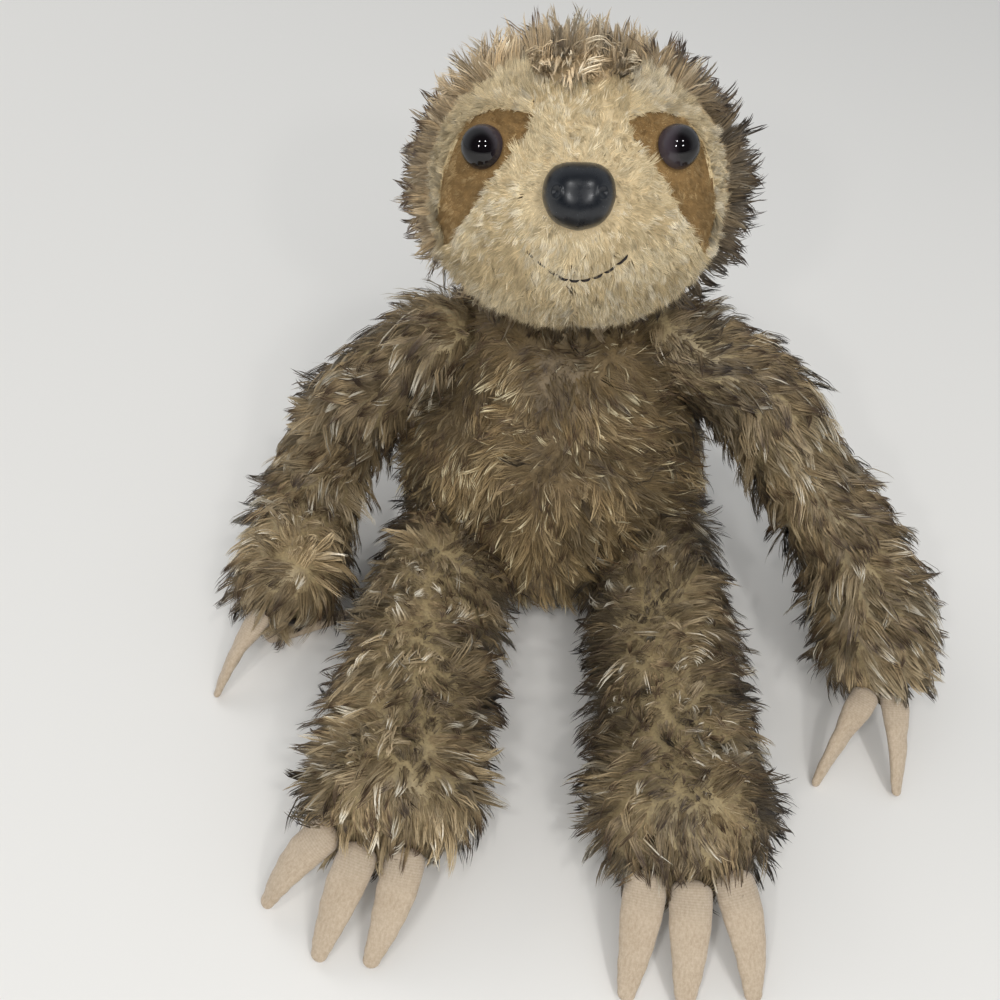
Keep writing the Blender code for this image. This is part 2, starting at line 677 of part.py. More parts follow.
def make_head(head_body):
    """The head: fur behind, five pieces of short plush in front, the fastened features and the stuffing."""
    eye_holes, eye_pockets = make_eyes(head_body)
    nose_hole, nose_pocket = make_nose(head_body)
    make_mouth(head_body)
    half_gap = SEAM_GAP / 2

    wall = FUR_PILE + BACKING
    fur = clear_of_body(head_form("head_fur", FUR_PILE, FORM_AROUND, FORM_RINGS), NECK_PIVOT, NECK_STEPS)
    cavity = head_form("head_cavity", -BACKING, CORE_AROUND, CORE_RINGS)
    clear_of_body(cavity, NECK_PIVOT, NECK_STEPS, wall)
    add_ball_root(fur, cavity, NECK_PIVOT, NECK_BALL_DIAMETER, NECK_MOUTH_DIAMETER, NECK_PIVOT - HEAD_MIDDLE)
    combine(fur, cavity, "DIFFERENCE")
    combine(fur, outline_prism("face_hole", face_outline(), half_gap), "DIFFERENCE")
    finish(fur, "head_fur_skin", "fur", head_body, NECK_PIVOT)

    muzzle = head_shell("muzzle", FACE_PILE)
    combine(muzzle, outline_prism("face_edge", face_outline(), -half_gap), "INTERSECT", FACE_SOLVER)
    for sign in (-1, 1):
        around_eye = outline_prism("brow_edge", brow_outline(sign), half_gap, -CUT_OVERRUN)
        combine(muzzle, around_eye, "DIFFERENCE", FACE_SOLVER)
    combine(muzzle, nose_hole, "DIFFERENCE")
    clear_of_body(muzzle, NECK_PIVOT, NECK_STEPS)
    finish(muzzle, "muzzle_panel", "face_plush", head_body, NECK_PIVOT)

    for (side, sign), hole in zip((("left", 1), ("right", -1)), eye_holes):
        brow = head_shell("brow", FACE_PILE)
        around_eye = outline_prism("brow_edge", brow_outline(sign), -half_gap, -CUT_OVERRUN)
        patch_room = outline_prism("patch_room", patch_outline(sign), half_gap, -CUT_OVERRUN)
        combine(brow, outline_prism("face_edge", face_outline(), -half_gap), "INTERSECT", FACE_SOLVER)
        combine(brow, around_eye, "INTERSECT", FACE_SOLVER)
        combine(brow, patch_room, "DIFFERENCE", FACE_SOLVER)
        finish(brow, side + "_brow_panel", "face_plush", head_body, NECK_PIVOT)
        patch = head_shell("patch", PATCH_PILE)
        combine(patch, outline_prism("patch_edge", patch_outline(sign), -half_gap), "INTERSECT")
        combine(patch, hole, "DIFFERENCE")
        finish(patch, side + "_eye_patch", "patch_velour", head_body, NECK_PIVOT)

    fill = head_form("head_fill", -BACKING - STUFFING_GAP, CORE_AROUND, CORE_RINGS)
    for pocket in eye_pockets + [nose_pocket]:
        combine(fill, pocket, "DIFFERENCE")
    clear_of_body(fill, NECK_PIVOT, NECK_STEPS, wall + STUFFING_GAP)
    finish(fill, "head_stuffing", "fibre_fill", head_body, NECK_PIVOT)


def make_body(root):
    """The body: a front and a back fur panel sewn at the sides, the stuffing, and the pellet pouch in the seat."""
    reach = BODY_WIDTH + BODY_RISE
    for name, low, high in (
        ("body_front_panel", -reach, SIDE_SEAM_BACK - SEAM_GAP / 2),
        ("body_back_panel", SIDE_SEAM_BACK + SEAM_GAP / 2, reach),
    ):
        skin = body_form(name, FUR_PILE, FORM_AROUND, FORM_RINGS)
        combine(skin, body_form("body_inner", -BACKING, CORE_AROUND, CORE_RINGS), "DIFFERENCE")
        half = box("half", Vector((-reach, low, -reach)), Vector((reach, high, reach + BODY_TOP)))
        combine(skin, half, "INTERSECT")
        cut_sockets(skin, JOINT_GAP)
        combine(skin, floor_cutter(), "DIFFERENCE")
        finish(skin, name, "fur", root)

    fill_offset = -BACKING - STUFFING_GAP
    pouch_top = BODY_LEVEL - BODY_DROP + BACKING + POUCH_HEIGHT
    fill = body_form("body_fill", fill_offset, CORE_AROUND, CORE_RINGS)
    under = box("under", Vector((-reach, -reach, -reach)), Vector((reach, reach, pouch_top + SEAM_GAP / 2)))
    combine(fill, under, "DIFFERENCE")
    cut_sockets(fill, JOINT_GAP)
    finish(fill, "body_stuffing", "fibre_fill", root)
    pouch = body_form("pouch", fill_offset, CORE_AROUND, CORE_RINGS)
    above = box("above", Vector((-reach, -reach, pouch_top - SEAM_GAP / 2)), Vector((reach, reach, reach + BODY_TOP)))
    combine(pouch, above, "DIFFERENCE")
    cut_sockets(pouch, JOINT_GAP)
    finish(pouch, "seat_pellet_pouch", "pouch_cloth", root)


def claw_frame(limb, spacing, place, splay, length, thickness):
    """A claw's frame at its root: X runs across it, Y points along it, Z is up. It leans down to the floor."""
    ahead = limb.heading()
    across = Vector((-ahead.y, ahead.x, 0))
    width = limb.half_width * table_value(limb.width_shares, 1) + FUR_PILE
    cap = limb.half_height * LIMB_CAP_SHARE
    offset = place * spacing
    forward = (cap + FUR_PILE) * math.sqrt(1 - (offset / width) ** 2) - cap + CLAW_STANDOFF
    root = limb.line[-1] + ahead * forward + across * offset
    tip_level = thickness / 2 * CLAW_THICKNESS_SHARES[-1][1] + CLAW_TIP_LIFT
    fall = math.asin((root.z - tip_level) / length)
    heading = Matrix.Rotation(math.radians(splay), 3, "Z") @ ahead
    along = heading * math.cos(fall) - Vector((0, 0, math.sin(fall)))
    return frame_of(root, along)


def tucked_claw_frame(limb, spacing, thickness):
    """The frame of the claw that lies on the floor under the hand and points back."""
    ahead = limb.heading()
    across = Vector((-ahead.y, ahead.x, 0))
    sideways, forward = TUCKED_CLAW_PLACE_SHARES
    root = limb.line[-1] + across * (sideways * spacing) + ahead * (forward * spacing)
    root.z = thickness / 2 + SEAM_GAP
    return frame_of(root, Matrix.Rotation(math.radians(TUCKED_CLAW_SPLAY), 3, "Z") @ ahead)


def frame_of(root, along):
    side = along.cross(Vector((0, 0, 1))).normalized()
    return Matrix.Translation(root) @ Matrix((side, along, side.cross(along))).transposed().to_4x4()


def claw_form(name, frame, length, width, thickness, arched=1):
    """A flat, tapering claw with a rounded root on its hinge line, the frame's X axis, and a blunt tip."""
    root_radius = thickness / 2
    path, widths, heights = [], [], []
    for angle in CLAW_ROOT_ANGLES:
        turn = math.radians(angle)
        path.append(Vector((0, -root_radius * math.sin(turn), 0)))
        widths.append(width / 2 * CLAW_WIDTH_SHARES[0][1])
        heights.append(root_radius * math.cos(turn))
    for ring in range(CLAW_RINGS):
        share = ring / (CLAW_RINGS - 1)
        along = share * (length - root_radius * CLAW_THICKNESS_SHARES[-1][1])
        arch = CLAW_ARCH_SHARE * length * 4 * share * (1 - share) * arched
        path.append(Vector((0, along, arch)))
        widths.append(width / 2 * table_value(CLAW_WIDTH_SHARES, share))
        heights.append(root_radius * table_value(CLAW_THICKNESS_SHARES, share))
    made = tube_form(name, path, widths, heights, CLAW_AROUND, end=Vector((0, length, 0)), side=Vector((1, 0, 0)))
    made.data.transform(frame)
    return made


def claw_recess(name, frame, width, thickness):
    """The room in the limb's end for a claw's root, round about its hinge line."""
    lying = frame @ Matrix.Rotation(math.pi / 2, 4, "Y")
    half = width / 2 * CLAW_WIDTH_SHARES[0][1] + CLAW_CLEARANCE
    return cylinder(name, lying, thickness / 2 + CLAW_CLEARANCE, -half, half, CLAW_AROUND)


def tucked_recess(frame, length, width, thickness):
    """The room under the hand for the tucked claw, at rest and as it swings forward about its upright hinge."""
    room = CLAW_CLEARANCE * 2
    corner = math.hypot(width * CLAW_WIDTH_SHARES[0][1], thickness) / 2
    post = cylinder("swing_room", frame, corner + CLAW_CLEARANCE, -thickness, thickness / 2 + CLAW_CLEARANCE)
    claw = claw_form("swept", frame, length + room, width + room, thickness + room, arched=0)
    return swept_room("tucked_room", [post, claw], frame.to_translation(), TUCKED_CLAW_STEPS, "Z")


def add_claw(limb, name, frame, length, width, thickness, joint, arched=1):
    """A claw under an empty that stands at its hinge: X runs along the hinge line and Y along the claw."""
    hinge = empty(limb.name + "_" + name + "_claw_hinge", Matrix.Translation(-limb.root) @ frame, joint)
    made = claw_form(name, Matrix.Identity(4), length, width, thickness, arched)
    finish(made, limb.name + "_" + name + "_claw", "claw_fleece", hinge)


def make_limb(limb, steps, spacing, claws, tucked, length, width, thickness, root):
    """A limb's fur sleeve, its stuffing, and its claws, each claw on its own hinge."""
    joint = empty(limb.name + "_joint", Matrix.Translation(limb.root), root)
    wall = FUR_PILE + BACKING
    skin = clear_of_body(limb.form(limb.name, FUR_PILE, LIMB_AROUND, LIMB_RINGS), limb.root, steps)
    cavity = limb.form("sleeve_inner", -BACKING, LIMB_CORE_AROUND, LIMB_CORE_RINGS)
    clear_of_body(cavity, limb.root, steps, wall)
    add_ball_root(skin, cavity, limb.root, limb.ball, MOUTH_DIAMETER, limb.path[0] - limb.path[1])
    combine(skin, cavity, "DIFFERENCE")
    fill = limb.form("limb_fill", -BACKING - STUFFING_GAP, LIMB_CORE_AROUND, LIMB_CORE_RINGS)
    clear_of_body(fill, limb.root, steps, wall + STUFFING_GAP)
    for thing in (skin, fill):
        combine(thing, floor_cutter(), "DIFFERENCE")
    for name, (place, splay) in claws.items():
        frame = claw_frame(limb, spacing, place, splay, length, thickness)
        for thing in (skin, fill):
            combine(thing, claw_recess("recess", frame, width, thickness), "DIFFERENCE")
        add_claw(limb, name, frame, length, width, thickness, joint)
    if tucked:
        frame = tucked_claw_frame(limb, spacing, thickness)
        for thing in (skin, fill):
            combine(thing, tucked_recess(frame, length, width, thickness), "DIFFERENCE")
        add_claw(limb, "inner", frame, length, width, thickness, joint, arched=0)
    finish(skin, limb.name + "_fur_sleeve", "fur", joint, limb.root)
    finish(fill, limb.name + "_stuffing", "fibre_fill", joint, limb.root)


def make_limbs(root):
    foot = (FOOT_CLAW_LENGTH, FOOT_CLAW_WIDTH, FOOT_CLAW_THICKNESS)
    hand = (HAND_CLAW_LENGTH, HAND_CLAW_WIDTH, HAND_CLAW_THICKNESS)
    for side, sign, arm_path, leg_path, hand_claws, foot_claws in (
        ("left", 1, LEFT_ARM_PATH_SHARES, LEFT_LEG_PATH_SHARES, LEFT_HAND_CLAW_SHARES, LEFT_FOOT_CLAW_SHARES),
        ("right", -1, RIGHT_ARM_PATH_SHARES, RIGHT_LEG_PATH_SHARES, RIGHT_HAND_CLAW_SHARES, RIGHT_FOOT_CLAW_SHARES),
    ):
        shoulder = Vector((sign * SHOULDER_SPACING / 2, 0, SHOULDER_HEIGHT))
        arm = Limb(side + "_arm", shoulder, SHOULDER_BALL_DIAMETER, ARM_LENGTH, SHOULDER_HEIGHT - ARM_LEVEL, arm_path,
                   ARM_GIRTH_SHARES, ARM_GIRTH_SHARES, ARM_RADIUS, ARM_RADIUS)
        make_limb(arm, SHOULDER_STEPS, HAND_CLAW_SPACING, hand_claws, side == "right", *hand, root)
        hip = Vector((sign * HIP_SPACING / 2, -HIP_AHEAD, LEG_LEVEL))
        leg = Limb(side + "_leg", hip, HIP_BALL_DIAMETER, LEG_LENGTH, LEG_HALF_HEIGHT, leg_path, LEG_WIDTH_SHARES,
                   LEG_HEIGHT_SHARES, LEG_HALF_WIDTH, LEG_HALF_HEIGHT)
        make_limb(leg, HIP_STEPS, FOOT_CLAW_SPACING, foot_claws, False, *foot, root)


def main():
    clear_scene()
    root = empty("sloth", Matrix.Identity(4))
    head_body = empty("neck_joint", Matrix.Translation(NECK_PIVOT), root)
    make_body(root)
    make_head(head_body)
    make_limbs(root)


main()
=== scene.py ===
"""The looks of a sitting plush sloth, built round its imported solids.

The fur, the face plush and the velour are real pile: each strand is a thin closed blade that leans with the
nap. Each soft form repeats the size of the solid it stands for. The toy faces -Y, and its left side is +X.
"""

from __future__ import annotations

import json
import logging
import math
from dataclasses import dataclass, field, fields, replace
from enum import Enum
from math import radians
from typing import Callable, Iterable

import bmesh
import bpy
import numpy as np
from mathutils import Matrix, Vector, kdtree, noise


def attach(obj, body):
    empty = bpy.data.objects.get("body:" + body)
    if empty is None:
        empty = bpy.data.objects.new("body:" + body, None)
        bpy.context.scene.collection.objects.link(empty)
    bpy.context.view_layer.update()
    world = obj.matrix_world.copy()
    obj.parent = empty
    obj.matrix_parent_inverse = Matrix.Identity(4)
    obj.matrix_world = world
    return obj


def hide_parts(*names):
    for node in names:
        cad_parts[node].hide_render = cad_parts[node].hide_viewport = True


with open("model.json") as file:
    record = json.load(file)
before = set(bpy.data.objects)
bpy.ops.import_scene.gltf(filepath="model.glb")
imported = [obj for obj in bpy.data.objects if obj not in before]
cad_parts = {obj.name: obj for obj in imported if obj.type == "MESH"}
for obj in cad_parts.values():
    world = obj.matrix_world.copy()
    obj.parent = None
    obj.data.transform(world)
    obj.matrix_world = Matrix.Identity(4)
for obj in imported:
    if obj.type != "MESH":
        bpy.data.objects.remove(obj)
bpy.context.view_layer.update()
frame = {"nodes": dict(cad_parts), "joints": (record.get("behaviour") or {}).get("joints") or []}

LOG = logging.getLogger("sloth")
MM = 0.001
FULL_TURN = 2 * math.pi

# Blender starts its noise vectors from the clock, so that each run would differ, unless they get a seed.
NOISE_SEED = 5
noise.seed_set(NOISE_SEED)

# The poles of a form are left out where its area is measured or its pile is sown.
POLE_GAP = 0.004
SOWN_CELLS = (220, 150)
AREA_CELLS = (60, 40)
# What lies underneath and is hardly seen takes fewer hairs.
UNDERSIDE = -0.45
UNDERSIDE_SHARE = 0.8

Array = np.ndarray
Offset = float | Array
Pair = tuple[float, float]
Spot = tuple[float, float, float]
Table = list[Pair]
Thing = bpy.types.Object
Socket = bpy.types.NodeSocket
Flow = Callable[[Array, Array, Array, Array], Array]
Mask = Callable[[Array, Array], Array]
Inside = Callable[[Array], Array]
Lift = float | Callable[[Array, Array], Array]


class Side(Enum):
    """The toy's own left and right."""

    LEFT = 1
    RIGHT = -1

    @property
    def word(self) -> str:
        """The side's name in a piece's name."""
        return self.name.lower()


def linear(hex_colour: str) -> Array:
    """Turns an sRGB hex colour to linear light.

    Args:
        hex_colour: six hex digits after a hash sign.

    Returns:
        Three numbers from 0 to 1.
    """
    srgb = np.array([int(hex_colour[i:i + 2], 16) / 255 for i in (1, 3, 5)])
    return np.where(srgb <= 0.04045, srgb / 12.92, ((srgb + 0.055) / 1.055) ** 2.4)


def unit(vectors: Array) -> Array:
    """Vectors of length one along the last axis."""
    return vectors / np.maximum(np.linalg.norm(vectors, axis=-1, keepdims=True), 1e-12)


def smooth(low: float, high: float, value: Array) -> Array:
    """A smooth step from 0 at low to 1 at high. A low above the high makes it fall."""
    share = np.clip((value - low) / (high - low), 0, 1)
    return share * share * (3 - 2 * share)


def distance(points: Array, middle: Iterable[float]) -> Array:
    """How far each point lies from one place."""
    return np.linalg.norm(points - np.array(middle), axis=1)


def bell(value: Array, width: float, middle: float = 0.0) -> Array:
    """A smooth bump: 1 at the middle, and hardly anything two widths away from it."""
    return np.exp(-(((value - middle) / width) ** 2))


def curve_value(table: Table, where: Array) -> Array:
    """Reads a table of (place, value) shares on a smooth curve through its points.

    Args:
        table: the points, in order of their places.
        where: the places to read.

    Returns:
        One value to a place.
    """
    places = np.array([place for place, _ in table])
    values = np.array([value for _, value in table])
    found = np.clip(np.searchsorted(places, where, side="right") - 1, 0, len(places) - 2)
    share = np.clip((where - places[found]) / (places[found + 1] - places[found]), 0, 1)
    share = share * share * (3 - 2 * share)
    return values[found] * (1 - share) + values[found + 1] * share


def wander(points: Array, size: float, seed: float) -> Array:
    """A smooth field of small vectors that varies over the given size in metres.

    Args:
        points: where to read it.
        size: the distance over which it changes.
        seed: moves the field, so that two reads differ.

    Returns:
        One vector to a point, each part from about -1 to 1.
    """
    shift = Vector((seed, seed * 1.7, seed * 2.3))
    return np.array([noise.noise_vector(Vector(p) / size + shift) for p in points])


def inside_outline(points: Array, outline: Array) -> Array:
    """Tells which flat points lie inside a closed outline.

    Args:
        points: rows of x and z.
        outline: the outline's corners, in order.

    Returns:
        True for each point inside.
    """
    after = np.roll(outline, -1, axis=0)
    x, z = points[:, :1], points[:, 1:]
    crosses = (outline[:, 1] > z) != (after[:, 1] > z)
    rise = np.where(after[:, 1] == outline[:, 1], 1.0, after[:, 1] - outline[:, 1])
    meet = outline[:, 0] + (z - outline[:, 1]) / rise * (after[:, 0] - outline[:, 0])
    return (crosses & (x < meet)).sum(axis=1) % 2 == 1


def smooth_path(points: Array, steps: int) -> Array:
    """Points along a Catmull-Rom curve through the given points, steps to each stretch."""
    ends = np.vstack([points[0] * 2 - points[1], points, points[-1] * 2 - points[-2]])
    path = []
    for first, second, third, fourth in zip(ends, ends[1:], ends[2:], ends[3:]):
        for step in range(steps):
            t = step / steps
            path.append(
                (second * 2 + (third - first) * t + (first * 2 - second * 5 + third * 4 - fourth) * t ** 2
                 + (second * 3 - first - third * 3 + fourth) * t ** 3) / 2
            )
    return np.array(path + [points[-1]])


def along_line(rows: Array, places: Array, where: Offset) -> Array:
    """Reads rows of three numbers that belong to rising places, in between them as well."""
    return np.stack([np.interp(where, places, rows[:, axis]) for axis in range(3)], axis=-1)


def pile_density(normals: Array) -> Array:
    """How dense a pile is, as a share: a little thinner underneath."""
    return np.where(normals[:, 2] < UNDERSIDE, UNDERSIDE_SHARE, 1.0)


def tube_shares(v: Array, root_share: float, end_share: float) -> tuple[Array, Array, Array]:
    """Splits the way along a tube into its round root, its length and its round end.

    Args:
        v: shares from pole to pole.
        root_share: where the root's dome ends.
        end_share: where the end's dome starts.

    Returns:
        True on the root's dome, the slope of both domes in radians, and the share of the tube's length.
    """
    at_root, at_end = v < root_share, v > end_share
    slope = np.where(at_root, v / root_share - 1, np.where(at_end, (v - end_share) / (1 - end_share), 0))
    along = np.clip((v - root_share) / (end_share - root_share), 0, 1)
    return at_root, slope * math.pi / 2, along


class Form:
    """A closed soft form. A place on it is a share u of the way round and a share v from pole to pole."""

    def place(self, u: Array, v: Array, offset: Offset) -> Array:
        """The points at these shares, moved out from the backing cloth by the offset."""
        raise NotImplementedError

    def steps(self, u: Array, v: Array, offset: Offset) -> tuple[Array, Array]:
        """Unit vectors round the form and along it."""
        small, pole = 0.003, 0.001
        low, high = np.clip(v - small, pole, 1 - pole), np.clip(v + small, pole, 1 - pole)
        return (
            unit(self.place(u + small, v, offset) - self.place(u - small, v, offset)),
            unit(self.place(u, high, offset) - self.place(u, low, offset)),
        )

    def cells(self, wide: int, high: int, keep: Mask) -> tuple[Array, Array, Array]:
        """Cuts the form into cells.

        Args:
            wide: how many cells lie round it.
            high: how many lie from pole to pole.
            keep: tells from the points and their faces' normals which are wanted.

        Returns:
            The v shares between the rows, each cell's area, which is 0 if it isn't wanted, and its normal.
        """
        v_line = np.linspace(POLE_GAP, 1 - POLE_GAP, high + 1)
        u_grid, v_grid = np.meshgrid(np.arange(wide + 1) / wide, v_line)
        grid = self.place(u_grid.ravel(), v_grid.ravel(), 0.0).reshape(high + 1, wide + 1, 3)
        crossed = np.cross(grid[:-1, 1:] - grid[:-1, :-1], grid[1:, :-1] - grid[:-1, :-1])
        normal = unit(crossed).reshape(-1, 3)
        middle = ((grid[:-1, :-1] + grid[1:, 1:]) / 2).reshape(-1, 3)
        return v_line, np.linalg.norm(crossed, axis=2).ravel() * keep(middle, normal), normal

    def area(self, keep: Mask) -> float:
        """The area of the part of the form that is wanted."""
        return float(self.cells(*AREA_CELLS, keep)[1].sum())

    def scatter(self, count: int, draw: np.random.Generator, keep: Mask) -> tuple[Array, Array]:
        """Draws places spread evenly over the form's area, a little thinner underneath.

        Args:
            count: how many are wanted.
            draw: the source of random numbers.
            keep: tells from the points and their faces' normals which may be used.

        Returns:
            The u and the v shares of the places.
        """
        wide = SOWN_CELLS[0]
        v_line, area, normal = self.cells(*SOWN_CELLS, keep)
        share = area * pile_density(normal)
        cell = draw.choice(len(share), size=count, p=share / share.sum())
        row, column = cell // wide, cell % wide
        u = (column + draw.random(count)) / wide
        v = v_line[row] + draw.random(count) * (v_line[1] - v_line[0])
        return u, v


@dataclass
class TorsoForm(Form):
    """The body's egg shape over its backing cloth."""

    width: float = 0.126
    front: float = 0.065
    back: float = 0.050
    rise: float = 0.098
    drop: float = 0.041
    level: float = 0.0465
    lean_share: float = 0.10
    lower_roundness: float = 3.0
    upper_roundness: float = 1.75

    def place(self, u: Array, v: Array, offset: Offset) -> Array:
        """The points at these shares. v runs from the seat to the neck."""
        turn, rise = FULL_TURN * u, math.pi * v
        lower = rise < math.pi / 2
        power = 2 / np.where(lower, self.lower_roundness, self.upper_roundness)
        reach = np.where(lower, self.drop, self.rise) + offset
        height = -np.sign(np.cos(rise)) * np.abs(np.cos(rise)) ** power * reach
        spread = np.abs(np.sin(rise)) ** power
        depth = np.where(np.sin(turn) < 0, self.front, self.back) + offset
        return np.stack([
            (self.width / 2 + offset) * spread * np.cos(turn),
            depth * spread * np.sin(turn) + self.lean_share * height,
            self.level + height,
        ], axis=-1)

    def holds(self, points: Array, offset: float) -> Array:
        """True for each point inside the form grown by the offset."""
        height = points[:, 2] - self.level
        lower = height < 0
        power = np.where(lower, self.lower_roundness, self.upper_roundness)
        ahead = points[:, 1] - self.lean_share * height
        depth = np.where(ahead < 0, self.front, self.back) + offset
        spread = np.hypot(points[:, 0] / (self.width / 2 + offset), ahead / depth)
        rise = np.abs(height) / (np.where(lower, self.drop, self.rise) + offset)
        return spread ** power + rise ** power < 1


# What a point behind the face reads as its share of the face's half sizes.
FAR_OUT = 9.0


@dataclass
class HeadForm(Form):
    """The head over its backing cloth, with the muzzle's bulge."""

    width: float = 0.110
    front: float = 0.038
    back: float = 0.045
    up: float = 0.046
    down: float = 0.048
    tilt: float = radians(15)
    turn: float = radians(-2.5)
    middle: Spot = (0.0035, -0.0152, 0.1895)
    muzzle_bulge: float = 0.007
    muzzle_spread: float = radians(28)
    muzzle_dip: float = radians(-12)
    face_width: float = 0.101
    face_height: float = 0.089
    face_drop: float = 0.0045

    def __post_init__(self) -> None:
        """Works out the head's own frame."""
        aside = Matrix.Translation(self.middle) @ Matrix.Rotation(self.turn, 4, "Z")
        own_frame = np.array(aside @ Matrix.Rotation(-self.tilt, 4, "X"))
        self.turned = own_frame[:3, :3]
        self.moved = own_frame[:3, 3]

    def reach(self, turn: Array, lift: Array) -> Array:
        """The distance from the head's middle to its backing."""
        side, ahead, rise = np.sin(turn) * np.cos(lift), np.cos(turn) * np.cos(lift), np.sin(lift)
        plain = 1 / np.sqrt(
            (side / (self.width / 2)) ** 2
            + (ahead / np.where(ahead > 0, self.front, self.back)) ** 2
            + (rise / np.where(rise > 0, self.up, self.down)) ** 2
        )
        toward = ahead * math.cos(self.muzzle_dip) + rise * math.sin(self.muzzle_dip)
        angle = np.arccos(np.clip(toward, -1, 1))
        return plain + self.muzzle_bulge * np.exp(-((angle / self.muzzle_spread) ** 2) / 2)

    def at(self, turn: Array, lift: Array, offset: Offset) -> Array:
        """The points towards a turn from the front and a lift, both in radians."""
        reach = self.reach(turn, lift) + offset
        local = np.stack([
            reach * np.sin(turn) * np.cos(lift), -reach * np.cos(turn) * np.cos(lift), reach * np.sin(lift),
        ], axis=-1)
        return local @ self.turned.T + self.moved

    def place(self, u: Array, v: Array, offset: Offset) -> Array:
        """The points at these shares. v runs from the chin's pole to the crown."""
        return self.at(FULL_TURN * u, math.pi * v - math.pi / 2, offset)

    def local(self, points: Array) -> Array:
        """World points in the head's own frame."""
        return (points - self.moved) @ self.turned

    def face_shares(self, points: Array) -> Array:
        """Rows of x and z on the face, as shares of its half sizes. Points behind the face read far out."""
        own = self.local(points)
        across = own[:, 0] / (self.face_width / 2)
        upward = (own[:, 2] + self.face_drop) / (self.face_height / 2)
        shares = np.stack([across, upward], axis=1)
        shares[own[:, 1] > 0] = FAR_OUT
        return shares

    def frame_at(self, turn: float, lift: float, offset: float) -> Matrix:
        """A frame on the surface: its Z axis stands square to the surface, its Y axis leans up."""
        small = radians(2)
        spots = self.at(
            np.array([turn + small, turn - small, turn, turn, turn]),
            np.array([lift, lift, lift + small, lift - small, lift]), offset,
        )
        across, upward = Vector(spots[0] - spots[1]), Vector(spots[2] - spots[3])
        normal = across.cross(upward).normalized()
        side = upward.cross(normal).normalized()
        turned = Matrix((side, normal.cross(side), normal)).transposed().to_4x4()
        return Matrix.Translation(spots[4]) @ turned


@dataclass
class LimbForm(Form):
    """An arm or a leg over its backing cloth: a tube along a path, round at its root and domed at its end."""

    root: Spot
    length: float
    drop: float
    path_shares: list[Spot]
    width_shares: Table
    height_shares: Table
    half_width: float
    half_height: float
    floor_lift: float = 0.0055
    cap_share: float = 0.95
    root_share: float = 0.12
    end_share: float = 0.86
    heading_share: float = 0.85
    path_steps: int = 8
    stations: int = 60

    def __post_init__(self) -> None:
        """Works out stations along the limb, each with its middle, its directions and its half sizes."""
        scale = np.array([self.length, self.length, self.drop])
        points = np.array(self.root) + np.array(self.path_shares) * scale
        points[:, 2] = np.maximum(points[:, 2], self.half_height + self.floor_lift)
        line = smooth_path(points, self.path_steps)
        reach = np.concatenate([[0], np.cumsum(np.linalg.norm(np.diff(line, axis=0), axis=1))])
        self.cap = self.half_height * self.cap_share
        self.spots = np.linspace(0, 1, self.stations)
        shares = self.spots * (1 - self.cap / reach[-1])
        self.middle = along_line(line, reach, shares * reach[-1])
        ahead = np.gradient(self.middle, axis=0)
        ahead[-1] = line[-1] - self.middle[-1]
        self.ahead = unit(ahead)
        across = np.cross(self.middle[1] - self.middle[0], (0, 0, 1))
        self.across = np.zeros_like(self.middle)
        for i, way in enumerate(self.ahead):
            across = unit(across - way * np.dot(across, way))
            self.across[i] = across
        self.wide = self.half_width * curve_value(self.width_shares, shares)
        self.tall = self.half_height * curve_value(self.height_shares, shares)
        level = line[-1] - along_line(line, reach, self.heading_share * reach[-1])
        level[2] = 0
        self.heading = unit(level)

    def read(self, values: Array, where: Array) -> Array:
        """Reads a row of the stations at shares of the tube's length."""
        if values.ndim == 1:
            return np.interp(where, self.spots, values)
        return along_line(values, self.spots, where)

    def place(self, u: Array, v: Array, offset: Offset) -> Array:
        """The points at these shares. v runs from the root to the end."""
        at_root, slope, where = tube_shares(v, self.root_share, self.end_share)
        ahead, across = unit(self.read(self.ahead, where)), unit(self.read(self.across, where))
        upward = np.cross(ahead, across)
        wide, tall = self.read(self.wide, where) + offset, self.read(self.tall, where) + offset
        cap = np.where(at_root, self.wide[0], self.cap) + offset
        ring = FULL_TURN * u
        return (
            self.read(self.middle, where)
            + ahead * (cap * np.sin(slope))[:, None]
            + across * (wide * np.cos(slope) * np.cos(ring))[:, None]
            + upward * (tall * np.cos(slope) * np.sin(ring))[:, None]
        )


CLAW_WIDTH = [(0.0, 0.97), (0.12, 1.0), (0.28, 0.97), (0.5, 0.84), (0.7, 0.70), (0.88, 0.54), (1.0, 0.42)]
CLAW_THICKNESS = [(0.0, 0.9), (0.25, 0.92), (0.5, 0.74), (0.8, 0.54), (1.0, 0.40)]


